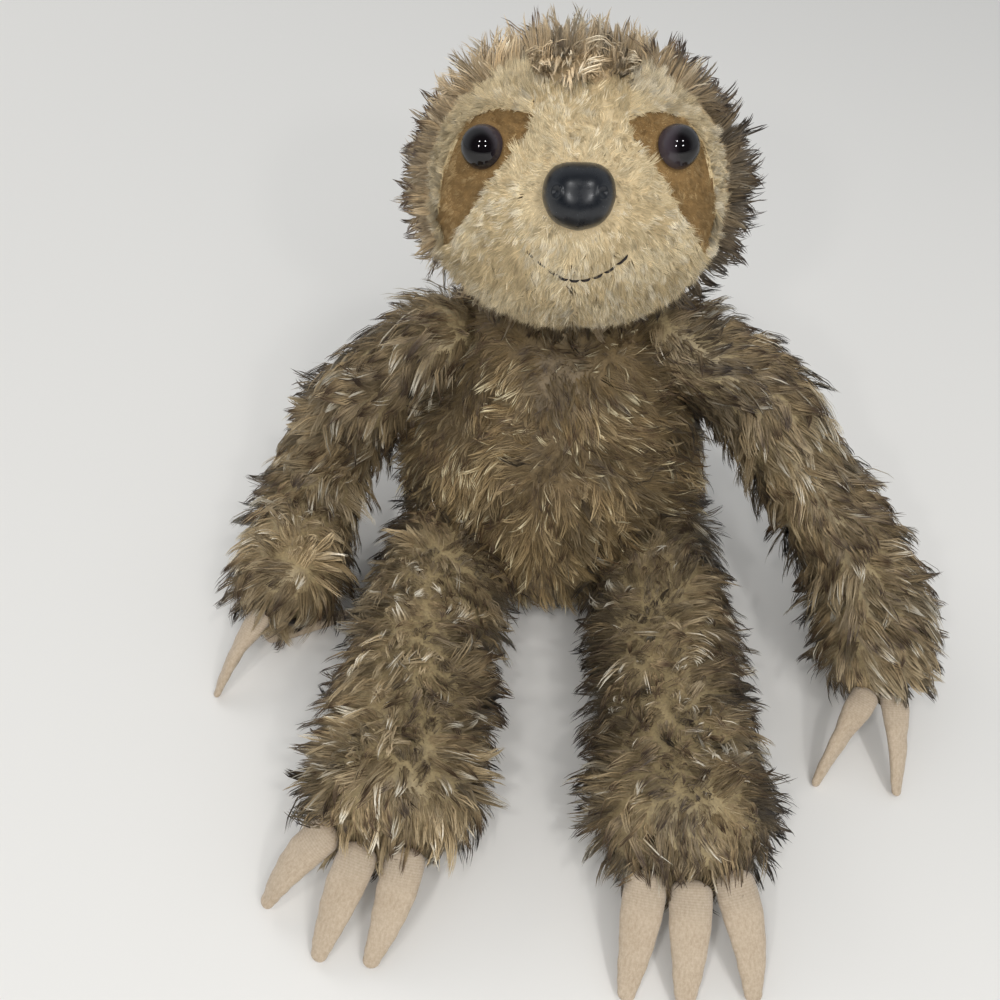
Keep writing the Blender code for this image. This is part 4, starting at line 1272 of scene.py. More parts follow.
# What gets each finish by the end of its name. These solids stay as they are.
INNER_FINISHES = {
    "_stuffing": LooseFilling("polyester_fibre_fill", "#f2f0ea", 3.0 * MM),
    "_pouch": LooseFilling("cotton_pellet_pouch", "#d9d4c6", 0.9 * MM),
    "_washer": Moulded("white_washer_plastic", "#dcdcd8", 0.4, 0.1),
}

BODY_FUR = Pile(
    guard=8500, under=18500, length=10.8 * MM, width=0.38 * MM, lean=radians(49),
    lock=3.1 * MM, gather=0.74,
    root="#6a563b", body="#806b49", light="#917d5a", tip="#453220", pale="#c6b895", skin="#766344",
    dark_share=0.54, pale_share=0.10, cloud_depth=0.48, curl=0.22, lock_depth=0.13,
)
LIMB_FUR = Pile(
    guard=8500, under=18500, length=13.0 * MM, width=0.50 * MM, lean=radians(40),
    lock=4.2 * MM, gather=0.88,
    root="#857151", body="#9b8562", light="#af9b79", tip="#44311f", pale="#ddd3be", skin="#9f8d69",
    dark_share=0.68, pale_share=0.09, curl=0.26, cloud_depth=0.42,
)
ARM_FUR = replace(LIMB_FUR, length=14.0 * MM, lean=radians(49), curl=0.2)
HEAD_FUR = Pile(
    guard=8500, under=18500, length=13.0 * MM, width=0.46 * MM, lean=radians(43),
    lock=3.4 * MM, gather=0.86,
    root="#9b8361", body="#b29974", light="#c6b08e", tip="#4c3522", pale="#decfb3", skin="#b59d78",
    dark_share=0.50, pale_share=0.10, curl=0.2, droop=0.0, cloud_depth=0.25,
)
FACE_PLUSH = Pile(
    guard=0, under=42000, length=5.6 * MM, width=0.33 * MM, lean=radians(52), lock=1.7 * MM, gather=0.6,
    root="#c6b088", body="#cdb78f", light="#e6d4ad", tip="#cab48a", pale="#f0e3c9", skin="#cab58f",
    dark_share=0.42, pale_share=0.16, cloud_depth=0.07, stray=0.22, curl=0.32, droop=0.0, lock_depth=0.11,
    puff=0.17, own_puff=0.19, own_tone=0.20,
)
BROW_PLUSH = replace(
    FACE_PLUSH, under=10500, length=6.6 * MM, lean=radians(50),
    root="#d0bb92", body="#dac59c", light="#eedcb8", tip="#e2cea6", skin="#d0bb92",
)
PATCH_VELOUR = Pile(
    guard=0, under=9500, length=3.2 * MM, width=0.26 * MM, lean=radians(60), lock=1.8 * MM, gather=0.8,
    root="#886d43", body="#9f8257", light="#b09265", tip="#886b43", pale="#ba9f72", skin="#866941",
    dark_share=0.5, pale_share=0.1, cloud_size=0.012, cloud_depth=0.16, stray=0.22, droop=0.0,
    lock_depth=0.04, puff=0.12,
)


def dress(thing: Thing, finish: Finish) -> Thing:
    """Gives a piece one finish all over."""
    found = bpy.data.materials.get(finish.name) or finish.made()
    thing.data.materials.clear()
    thing.data.materials.append(found)
    return thing


def report(thing: Thing) -> None:
    """Says in the log what was made."""
    count = sum(len(face.vertices) - 2 for face in thing.data.polygons)
    LOG.info("made %s, %d triangles", thing.name, count)


@dataclass
class Joint:
    """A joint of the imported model."""

    name: str
    place: Vector
    axis: Vector
    low: float
    high: float

    @classmethod
    def named(cls, name: str) -> Joint:
        """Finds a joint in the frame by its name."""
        row = next(row for row in frame["joints"] if row["name"] == name)
        low, high = (radians(value) for value in row["range_deg"])
        return cls(name, Vector(row["pos_m"]), Vector(row["axis"]), low, high)

    def turned(self, points: Array, angle: float) -> Array:
        """The points after a turn of the joint."""
        turn = np.array(Matrix.Rotation(angle, 3, self.axis))
        return (points - np.array(self.place)) @ turn.T + np.array(self.place)


def always_buried(points: Array, joint: Joint, angles: Iterable[float], depth: float) -> Array:
    """Tells which points the body hides at each of a joint's angles.

    Args:
        points: places on a form that turns with the joint.
        joint: the joint.
        angles: its angles, in radians.
        depth: how far inside the body's form a point has to lie.

    Returns:
        True for each point that never shows.
    """
    torso = TorsoForm()
    buried = np.ones(len(points), bool)
    for angle in angles:
        buried &= torso.holds(joint.turned(points, angle), -depth)
    return buried


# How far a pile's roots lie under the top of its backing, and the level to which a backing is pressed flat.
ROOT_SINK = 0.5 * MM
BACKING_FLOOR = 1.2 * MM


@dataclass
class Torso:
    """The body: a front and a back fur panel, sewn together at the sides."""

    form: TorsoForm = field(default_factory=TorsoForm)
    side_seam: float = 0.010
    undercoat: float = 2.0 * MM
    neck_seat: float = 0.0236
    shoulder_seat: float = 0.0206
    hip_seat: float = 0.0256
    seat_overlap: float = 1 * MM

    def seats(self) -> list[tuple[Vector, float]]:
        """The middle and the radius of the seat of each joint in the body."""
        found = [(Joint.named("neck").place, self.neck_seat)]
        for side in Side:
            found.append((Joint.named(side.word + "_shoulder").place, self.shoulder_seat))
            found.append((Joint.named(side.word + "_hip").place, self.hip_seat))
        return found

    def nap(self, points: Array, *_: Array) -> Array:
        """The fur falls and turns a little towards the sides, with whorls. It stands up round the neck."""
        fall = np.stack([points[:, 0] / self.form.width, points[:, 0] * 0, points[:, 0] * 0 - 0.75], axis=1)
        away = points - np.array(Joint.named("neck").place)
        ruff = self.ruff(points)[:, None]
        rising = np.array([0.0, 0.0, 1.3]) - unit(away) * 0.9
        whorls = wander(points, 0.034, 2.1) * (1.6 - ruff) + wander(points, 0.011, 7.4) * 1.1
        return fall * (1 - ruff) + rising * ruff + whorls

    def ruff(self, points: Array) -> Array:
        """How far each point belongs to the ruff round the neck."""
        return smooth(9 * MM, 2 * MM, distance(points, Joint.named("neck").place) - self.neck_seat)

    def fur_length(self, points: Array, normals: Array) -> Array:
        """How long the fur is: longer round the neck, where it closes the seam."""
        return 1 + 0.35 * self.ruff(points)

    def shade(self, points: Array, seats: list[tuple[Vector, float]]) -> Array:
        """Painted shade in the creases at the limbs and under the chin, where more tips are dark too. Lighter
        towards the bottom.
        """
        apart = np.min([distance(points, middle) - radius for middle, radius in seats], axis=0)
        chin = smooth(0.020, 0.004, Joint.named("neck").place.z - points[:, 2])
        belly = smooth(0.095, 0.050, points[:, 2])
        return (0.72 + 0.34 * smooth(0.0, 26 * MM, apart)) * (1 - 0.15 * chin) * (0.97 + 0.15 * belly)

    def build(self) -> None:
        """Builds both panels."""
        seats = self.seats()
        for name, front, seed in (("body_front_fur", True, 11), ("body_back_fur", False, 12)):
            skin = wrapped(name, self.form, self.undercoat, Fineness.TORSO)
            lift_off_floor(skin, BACKING_FLOOR)
            keep_half(skin, self.side_seam, front)
            for middle, radius in seats:
                cut_ball(skin, middle, radius)
            dyed(skin, BODY_FUR.skin)

            def cloth(points: Array, normals: Array) -> Array:
                """Where this panel has fur: on its side of the seam and outside the seats."""
                here = (points[:, 1] < self.side_seam) == front
                for middle, radius in seats:
                    here &= distance(points, middle) > radius - self.seat_overlap
                return here

            coat = Coat(
                self.form, BODY_FUR, self.nap, cloth, seed, self.undercoat - ROOT_SINK, self.fur_length,
                lambda points, normals: self.shade(points, seats),
            )
            piece = joined(name, [skin, *coat.meshes(name)])
            dress(piece, FUR_FIBRE)
            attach(piece, "torso")
            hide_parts("body_front_panel" if front else "body_back_panel")
            report(piece)


FACE_OUTLINE = [
    (0.00, 1.00), (0.29, 1.00), (0.40, 1.03), (0.58, 0.95), (0.83, 0.73), (0.97, 0.45), (1.00, 0.15),
    (0.98, -0.13), (0.94, -0.36), (0.90, -0.60), (0.74, -0.83), (0.42, -0.97), (0.00, -1.00),
]
PATCH_INNER = [(0.31, 0.80), (0.35, 0.66), (0.51, 0.44), (0.69, 0.12), (0.82, -0.12), (0.91, -0.30)]
PATCH_OUTER = [(0.955, -0.04), (0.93, 0.20), (0.88, 0.42), (0.81, 0.60), (0.69, 0.745), (0.52, 0.815)]
BROW_REACH = 1.35


def rounded(points: Table) -> Array:
    """Rounds an outline given by its corner points, all in shares of the face's half sizes."""
    return smooth_path(np.array(points), 4)


@dataclass
class FaceMap:
    """Which cloth covers each place of the face."""

    form: HeadForm

    def __post_init__(self) -> None:
        """Works out the outlines."""
        half = rounded(FACE_OUTLINE)
        self.face = np.vstack([half, half[1:-1][::-1] * (-1, 1)])
        inner, outer = rounded(PATCH_INNER), rounded(PATCH_OUTER)
        self.patch = np.vstack([inner, outer])
        corner = [(BROW_REACH, inner[-1][1]), (BROW_REACH, BROW_REACH), (inner[0][0], BROW_REACH)]
        self.brow = np.vstack([inner, corner])

    def in_face(self, points: Array) -> Array:
        """True where the pale cloth and the patches are."""
        return inside_outline(self.form.face_shares(points), self.face)

    def in_patch(self, points: Array, side: Side) -> Array:
        """True on the velour patch of one side."""
        return inside_outline(self.form.face_shares(points) * (side.value, 1), self.patch)

    def in_brow(self, points: Array, side: Side) -> Array:
        """True on the brow cloth of one side."""
        shares = self.form.face_shares(points)
        around = inside_outline(shares * (side.value, 1), self.brow)
        return around & inside_outline(shares, self.face) & ~self.in_patch(points, side)

    def in_muzzle(self, points: Array) -> Array:
        """True on the muzzle cloth."""
        shares = self.form.face_shares(points)
        here = inside_outline(shares, self.face)
        for side in Side:
            here &= ~inside_outline(shares * (side.value, 1), self.brow)
        return here


@dataclass
class Head:
    """The head: fur behind, the sewn face in front, and the eyes, nose and mouth on it."""

    form: HeadForm = field(default_factory=HeadForm)
    undercoat: float = 1.8 * MM
    sunk: float = -1.2 * MM
    neck_root: float = 0.0228
    bury_depth: float = 3 * MM
    cloth_thickness: float = 1.0 * MM
    cloth_sink: float = 0.3 * MM
    eye_turns: Pair = (radians(49), radians(48))
    eye_lifts: Pair = (radians(26.7), radians(25.2))
    patch_middle: Pair = (0.0355, 0.006)
    eye_diameter: float = 0.015
    eye_dome: float = 0.0080
    eye_seat: float = 1.8 * MM
    nose_lift: float = radians(11)
    nose_width: float = 0.0240
    nose_height: float = 0.0217
    nose_dome: float = 0.0110
    nose_seat: float = 3.6 * MM
    nose_squareness: float = 2.7
    nose_taper: float = 0.20
    nose_fullness: float = 0.72
    nostril_spacing: float = 0.0150
    nostril_rise: float = 0.9 * MM
    mouth_turn: float = radians(23)
    mouth_end_dip: float = radians(-13)
    mouth_middle_dip: float = radians(-25)
    mouth_lift: float = 2.5 * MM
    mouth_sink: float = 1.9 * MM
    mouth_reads: int = 60
    thread: float = 0.9 * MM
    stitches: int = 9
    stitch_points: int = 8

    def __post_init__(self) -> None:
        """Works out the face's cloths and the frames of its features."""
        self.map = FaceMap(self.form)
        self.nose_frame = self.form.frame_at(0, self.nose_lift, self.nose_seat)
        self.eye_frames = {
            side: self.form.frame_at(side.value * turn, lift, self.eye_seat)
            for side, turn, lift in zip((Side.LEFT, Side.RIGHT), self.eye_turns, self.eye_lifts)
        }

    def fur_nap(self, points: Array, *_: Array) -> Array:
        """The fur lies away from the face. Above it, it falls forward over the edge and crosses itself."""
        own = self.form.local(points)
        shares = self.form.face_shares(points)
        reach = np.hypot(shares[:, 0], shares[:, 1])
        high = smooth(0.45, 0.75, own[:, 2] / self.form.up)
        crown = (high * smooth(1.50, 1.20, reach))[:, None]
        edge = (high * smooth(1.26, 1.12, reach) * smooth(0.48, 0.34, np.abs(shares[:, 0])))[:, None]
        own[:, 1] = 0
        away = unit(own) @ self.form.turned.T
        backward = self.form.turned @ np.array([0.0, 1.0, 0.0])
        tangle = wander(points, 0.018, 4.4) * 0.9 + wander(points, 0.007, 1.9) * 0.8
        loose = away * (0.30 - 0.4 * crown) + backward * (0.35 - 0.5 * crown) + tangle * (0.75 + 0.9 * crown)
        loose = loose + np.array([0.0, 0.0, -1.1]) * self.nape(points)[:, None]
        return loose * (1 - edge) + (tangle * 0.5 - backward * 1.5) * edge

    def nape(self, points: Array) -> Array:
        """How far each point belongs to the nape, whose fur hangs over the neck."""
        own = self.form.local(points)
        low = smooth(-0.25, -0.65, own[:, 2] / self.form.down)
        return low * smooth(-0.2, 0.2, own[:, 1] / self.form.back)

    def fur_shade(self, points: Array, normals: Array) -> Array:
        """Painted light above the face, as if lit from above, and painted shade at the toy's left and under
        the chin.
        """
        own = self.form.local(points)
        shares = self.form.face_shares(points)
        above = smooth(0.35, 0.8, own[:, 2] / self.form.up) * smooth(0.5, -0.1, own[:, 1] / self.form.back)
        above = above * (1 - 0.3 * smooth(1.34, 1.16, np.hypot(shares[:, 0], shares[:, 1])))
        left = smooth(0.2, 0.9, own[:, 0] / (self.form.width / 2))
        under = smooth(-0.1, -0.7, own[:, 2] / self.form.down)
        return 1 + 0.38 * above - 0.56 * left * (1 - 0.6 * above) - 0.15 * under

    def fur_length(self, points: Array, normals: Array) -> Array:
        """How long the fur is: shorter beside the face and at the sides, longer at the nape."""
        own = self.form.local(points)
        shares = self.form.face_shares(points)
        side = smooth(0.55, 0.95, np.abs(own[:, 0]) / (self.form.width / 2))
        side = side * np.where(own[:, 0] > 0, 0.25, 1.0)
        reach = np.hypot(shares[:, 0], shares[:, 1])
        beside = smooth(1.35, 1.0, reach) * smooth(0.2, 0.6, np.abs(shares[:, 0]))
        return 1 - 0.20 * beside - 0.24 * side + 0.25 * self.nape(points)

    def plush_nap(self, points: Array, *_: Array) -> Array:
        """The plush lies away from the nose, falls below it, curls above it, and parts at the chin's dart."""
        own = self.form.local(points)
        away = unit(points - np.array(self.nose_frame.translation))
        above = smooth(0.002, 0.016, own[:, 2])[:, None]
        chin = smooth(-0.018, -0.034, own[:, 2]) * bell(own[:, 0], 5 * MM)
        parting = np.stack([np.sign(own[:, 0]) * chin * 1.1, chin * 0, chin * 0], axis=1)
        curls = wander(points, 0.009, 3.3) * 0.8 + wander(points, 0.0035, 8.2) * (0.5 + 1.1 * above)
        return away * (1 - 0.35 * above) + np.array([0.0, 0.0, -0.4]) * (1 - above) + parting + curls

    def face_shade(self, points: Array, normals: Array) -> Array:
        """Painted shade in the crease of the chin's dart: the plush is darker there."""
        own = self.form.local(points)
        return 1 - 0.42 * smooth(-0.024, -0.034, own[:, 2]) * bell(own[:, 0], 1.4 * MM)

    def brow_nap(self, points: Array, *_: Array) -> Array:
        """The brows' plush falls over the patches."""
        own = self.form.local(points)
        middle_x, middle_z = self.patch_middle
        goal = np.stack([np.sign(own[:, 0]) * middle_x, own[:, 1], own[:, 0] * 0 + middle_z], axis=1)
        goal[:, 2] = np.clip(own[:, 2], goal[:, 2] - 14 * MM, goal[:, 2] + 4 * MM)
        toward = unit(goal - own) @ self.form.turned.T + np.array([0.0, 0.0, -0.3])
        top = smooth(0.78, 0.95, self.form.face_shares(points)[:, 1])[:, None]
        return toward * (1 - top) + np.array([0.0, -0.1, 1.0]) * top + wander(points, 0.007, 6.3) * 0.8

    def patch_nap(self, points: Array, *_: Array) -> Array:
        """The velour is brushed down."""
        return np.array([0.0, 0.0, -1.0]) + wander(points, 0.006, 2.6) * 0.9

    def build_fur(self) -> None:
        """Builds the fur skin. Under the face its backing is sunk, so that the face's cloths lie on it."""
        def offset(u: Array, v: Array) -> Array:
            """Sunk under the face, raised elsewhere."""
            return np.where(self.map.in_face(self.form.place(u, v, 0.0)), self.sunk, self.undercoat)

        neck = Joint.named("neck")

        def cloth(points: Array, normals: Array) -> Array:
            """Where the head has fur: outside the face, and where the body doesn't always hide it."""
            buried = always_buried(points, neck, (neck.low, 0.0, neck.high), self.bury_depth)
            return ~self.map.in_face(points) & ~buried

        skin = dyed(wrapped("head_fur", self.form, offset, Fineness.HEAD), HEAD_FUR.skin)
        start = self.undercoat - ROOT_SINK
        coat = Coat(self.form, HEAD_FUR, self.fur_nap, cloth, 21, start, self.fur_length, self.fur_shade)
        root = new_sphere("neck_root", Fineness.NECK)
        move_to(root, coordinates(root) * self.neck_root + np.array(neck.place))
        map_to_band(root, NECK_ROWS)
        root.data.shade_smooth()
        piece = joined("head_fur", [skin, dyed(root, BODY_FUR.root), *coat.meshes("head_fur")])
        dress(piece, FUR_FIBRE)
        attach(piece, "head")
        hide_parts("head_fur_skin")
        report(piece)

    def panel(self, name: str, inside: Inside, lift: float) -> Thing:
        """The backing of one sewn piece of the face: the faces of the head's form inside its outline."""
        made = wrapped(name, self.form, lift, Fineness.FACE_CLOTH)
        shape = bmesh.new()
        shape.from_mesh(made.data)
        shape.faces.ensure_lookup_table()
        middles = np.array([face.calc_center_median() for face in shape.faces])
        kept = inside(middles)
        outside = [face for face, keep in zip(shape.faces, kept) if not keep]
        bmesh.ops.delete(shape, geom=outside, context="FACES")
        shape.to_mesh(made.data)
        shape.free()
        apply_modifier(made, "SOLIDIFY", thickness=self.cloth_thickness, offset=-1)
        made.data.shade_smooth()
        return made

    def build_cloth(
        self, name: str, node: str, pile: Pile, fibre: PileFibre, inside: Inside,
        lift: float, seed: int, nap: Flow,
    ) -> None:
        """Builds one sewn piece of the face with its pile.

        Args:
            name: its name.
            node: the solid that it replaces.
            pile: its pile.
            fibre: its finish.
            inside: tells which points it covers.
            lift: how far it lies outside the head's own backing.
            seed: starts the random numbers.
            nap: the way its pile lies.
        """
        def cloth(points: Array, normals: Array) -> Array:
            """Inside the outline."""
            return inside(points)

        skin = dyed(self.panel(name, inside, lift), pile.skin)
        start = lift - self.cloth_sink
        coat = Coat(self.form, pile, nap, cloth, seed, start, self.pile_length, self.face_shade)
        piece = joined(name, [skin, *coat.meshes(name, self.off_features)])
        dress(piece, fibre)
        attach(piece, "head")
        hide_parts(node)
        report(piece)

    def mouth_line(self, count: int) -> Array:
        """Points along the smile, on the surface of the cloth. It sinks in towards the toy's right end."""
        share = np.linspace(-1, 1, count)
        dip = self.mouth_middle_dip + (self.mouth_end_dip - self.mouth_middle_dip) * share ** 2
        lift = self.mouth_lift - self.mouth_sink * smooth(-0.1, -0.7, share)
        return self.form.at(share * self.mouth_turn, dip, lift)

    def rim_distance(self, points: Array) -> Array:
        """How far each point lies outside the nearest eye's or the nose's rim."""
        nose = np.array([self.nose_frame.inverted() @ Vector(p) for p in points])
        apart = np.hypot(nose[:, 0] / (self.nose_width / 2), nose[:, 1] / (self.nose_height / 2)) - 1
        apart = apart * self.nose_width / 2
        for side in Side:
            own = np.array([self.eye_frames[side].inverted() @ Vector(p) for p in points])
            apart = np.minimum(apart, np.hypot(own[:, 0], own[:, 1]) - self.eye_diameter / 2)
        return apart

    def off_features(self, points: Array) -> Array:
        """True where no eye or nose stands on the cloth."""
        return self.rim_distance(points) > -0.5 * MM

    def pile_length(self, points: Array, normals: Array) -> Array:
        """How long the pile is: drawn in at the stitches, eyes and nose, longer on cheeks and tufts."""
        own = self.form.local(points)
        rim = 0.50 + 0.50 * smooth(0.0, 4.0 * MM, self.rim_distance(points))
        cheek = 0.82 + 0.30 * smooth(0.010, -0.030, own[:, 2])
        shares = self.form.face_shares(points)
        tuft = smooth(0.80, 0.96, shares[:, 1]) * bell(np.abs(shares[:, 0]), 0.11, 0.40)
        return rim * (cheek + 0.75 * tuft) * self.beside_mouth(points)

    def beside_mouth(self, points: Array) -> Array:
        """How long the plush is near the stitches, which draw it in, but less at the toy's right end."""
        line = self.mouth_line(self.mouth_reads)
        apart = np.linalg.norm(points[:, None] - line[None], axis=2)
        at = np.argmin(apart, axis=1) / (self.mouth_reads - 1)
        return 1 - 0.62 * (1 - smooth(1.6 * MM, 4.2 * MM, apart.min(axis=1))) * smooth(0.22, 0.5, at)

    def build_face(self) -> None:
        """Builds the muzzle, the brows and the patches."""
        self.build_cloth(
            "muzzle_plush", "muzzle_panel", FACE_PLUSH, FACE_FIBRE, self.map.in_muzzle, 0.6 * MM, 31,
            self.plush_nap,
        )
        for side, seed in ((Side.LEFT, 41), (Side.RIGHT, 43)):
            self.build_cloth(
                side.word + "_brow_plush", side.word + "_brow_panel", BROW_PLUSH, FACE_FIBRE,
                lambda points, side=side: self.map.in_brow(points, side), 0.5 * MM, seed,
                self.brow_nap,
            )
            self.build_cloth(
                side.word + "_eye_patch_velour", side.word + "_eye_patch", PATCH_VELOUR, PATCH_FIBRE,
                lambda points, side=side: self.map.in_patch(points, side), 0.4 * MM, seed + 1,
                self.patch_nap,
            )

    def build_eyes(self) -> None:
        """Builds the domed safety eyes."""
        for side in Side:
            eye = new_sphere(side.word + "_eye_dome", Fineness.EYE)
            ball = coordinates(eye)
            radius = self.eye_diameter / 2
            front = ball[:, 2] >= 0
            ball[:, :2] *= radius
            ball[:, 2] = np.where(front, ball[:, 2] * self.eye_dome, ball[:, 2] * 1.6 * MM)
            move_to(eye, ball)
            # The rim is partly the eye's own iris rim and partly a painted reflection of the room, so its
            # middle is set off to one side.
            share = np.hypot(ball[:, 0] - 0.12 * radius, ball[:, 1] + 0.16 * radius) / radius
            edge = eye.data.attributes.new("rim", "FLOAT", "POINT")
            edge.data.foreach_set("value", smooth(0.66, 1.08, share).astype(np.float32))
            eye.data.transform(self.eye_frames[side])
            eye.data.shade_smooth()
            dress(eye, EYE_PLASTIC)
            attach(eye, "head")
            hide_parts(side.word + "_safety_eye")
            report(eye)

    def build_nose(self) -> None:
        """Builds the moulded nose: broad above, narrower below, with two nostrils."""
        nose = new_sphere("nose_moulding", Fineness.NOSE)
        ball = coordinates(nose)
        turn = np.arctan2(ball[:, 1], ball[:, 0])
        flat = np.hypot(ball[:, 0], ball[:, 1])
        across, upward = np.cos(turn), np.sin(turn)
        power = self.nose_squareness
        squared = (np.abs(across) ** power + np.abs(upward) ** power) ** (-1 / power)
        half = self.nose_width / 2 * across ** 2 + self.nose_height / 2 * upward ** 2
        narrower = 1 - self.nose_taper * np.maximum(0, -upward) * np.abs(across)
        reach = half * squared * narrower * flat ** self.nose_fullness
        height = np.where(ball[:, 2] >= 0, ball[:, 2] * self.nose_dome, ball[:, 2] * 2.2 * MM)
        points = np.stack([reach * across, reach * upward, height], axis=1)
        for sign in (-1, 1):
            spot = np.array([sign * self.nostril_spacing / 2, self.nostril_rise])
            away = (points[:, :2] - spot) * (sign, 1)
            points[:, 2] += np.where(height > 0, self.nostril(away), 0)
        move_to(nose, points)
        nose.data.transform(self.nose_frame)
        nose.data.shade_smooth()
        dress(nose, NOSE_PLASTIC)
        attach(nose, "head")
        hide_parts("safety_nose")
        report(nose)

    @staticmethod
    def nostril(away: Array) -> Array:
        """The relief round a nostril: a pit and a groove, with a rim that is highest above and to the inside.

        Args:
            away: rows of how far each point lies outwards and above the nostril's middle.

        Returns:
            How far each point is raised.
        """
        apart = np.hypot(away[:, 0] * 1.15, away[:, 1] * 0.9)
        open_side = 0.65 + 0.35 * np.cos(np.arctan2(away[:, 1], away[:, 0]) - radians(120))
        pit = bell(apart, 0.75 * MM) * 1.2 * MM
        groove = bell(apart, 0.35 * MM, 1.15 * MM) * 0.25 * MM
        rim = bell(apart, 0.40 * MM, 1.75 * MM) * 0.60 * MM * open_side
        return rim - pit - groove

    def stitch(self, path: Array) -> Thing:
        """One stitch of thread along a path, with its ends sunk into the cloth."""
        made = new_sphere("stitch", Fineness.STITCH)
        ball = coordinates(made)
        middle = along_line(path, np.linspace(0, 1, len(path)), (1 - ball[:, 2]) / 2)
        ahead = unit(path[-1] - path[0])
        outward = unit(path[len(path) // 2] - np.array(self.form.middle))
        across = unit(np.cross(ahead, outward))
        outward = np.cross(across, ahead)
        flat = np.hypot(ball[:, 0], ball[:, 1])
        full = np.minimum(1, flat * 1.25) * self.thread / 2
        turn = np.arctan2(ball[:, 1], ball[:, 0])
        sink = (1 - np.minimum(1, flat * 1.1)) * 0.9 * MM
        aside, out = (full * np.cos(turn))[:, None], (full * np.sin(turn) - sink)[:, None]
        move_to(made, middle + across * aside + outward * out)
        made.data.shade_smooth()
        return face_outward(made)

    def build_mouth(self) -> None:
        """Builds the smile as separate long stitches of one thread."""
        line = self.mouth_line(self.stitches * self.stitch_points + 1)
        starts = range(0, self.stitches * self.stitch_points, self.stitch_points)
        parts = [self.stitch(line[start:start + self.stitch_points]) for start in starts]
        piece = joined("mouth_stitches", parts)
        dress(piece, MOUTH_THREAD)
        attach(piece, "head")
        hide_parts("mouth_stitching")
        report(piece)

    def build(self) -> None:
        """Builds the whole head."""
        self.build_fur()
        self.build_face()
        self.build_eyes()
        self.build_nose()
        self.build_mouth()


@dataclass(frozen=True)
class ClawCut:
    """How one claw differs from the others: in length, in its turn about itself, and in its bend aside."""

    length: float = 1.0
    roll: float = 0.0
    sweep: float = 0.0


@dataclass(frozen=True)
class ClawSize:
    """The size of a hand's or a foot's claws."""

    length: float
    width: float
    thickness: float


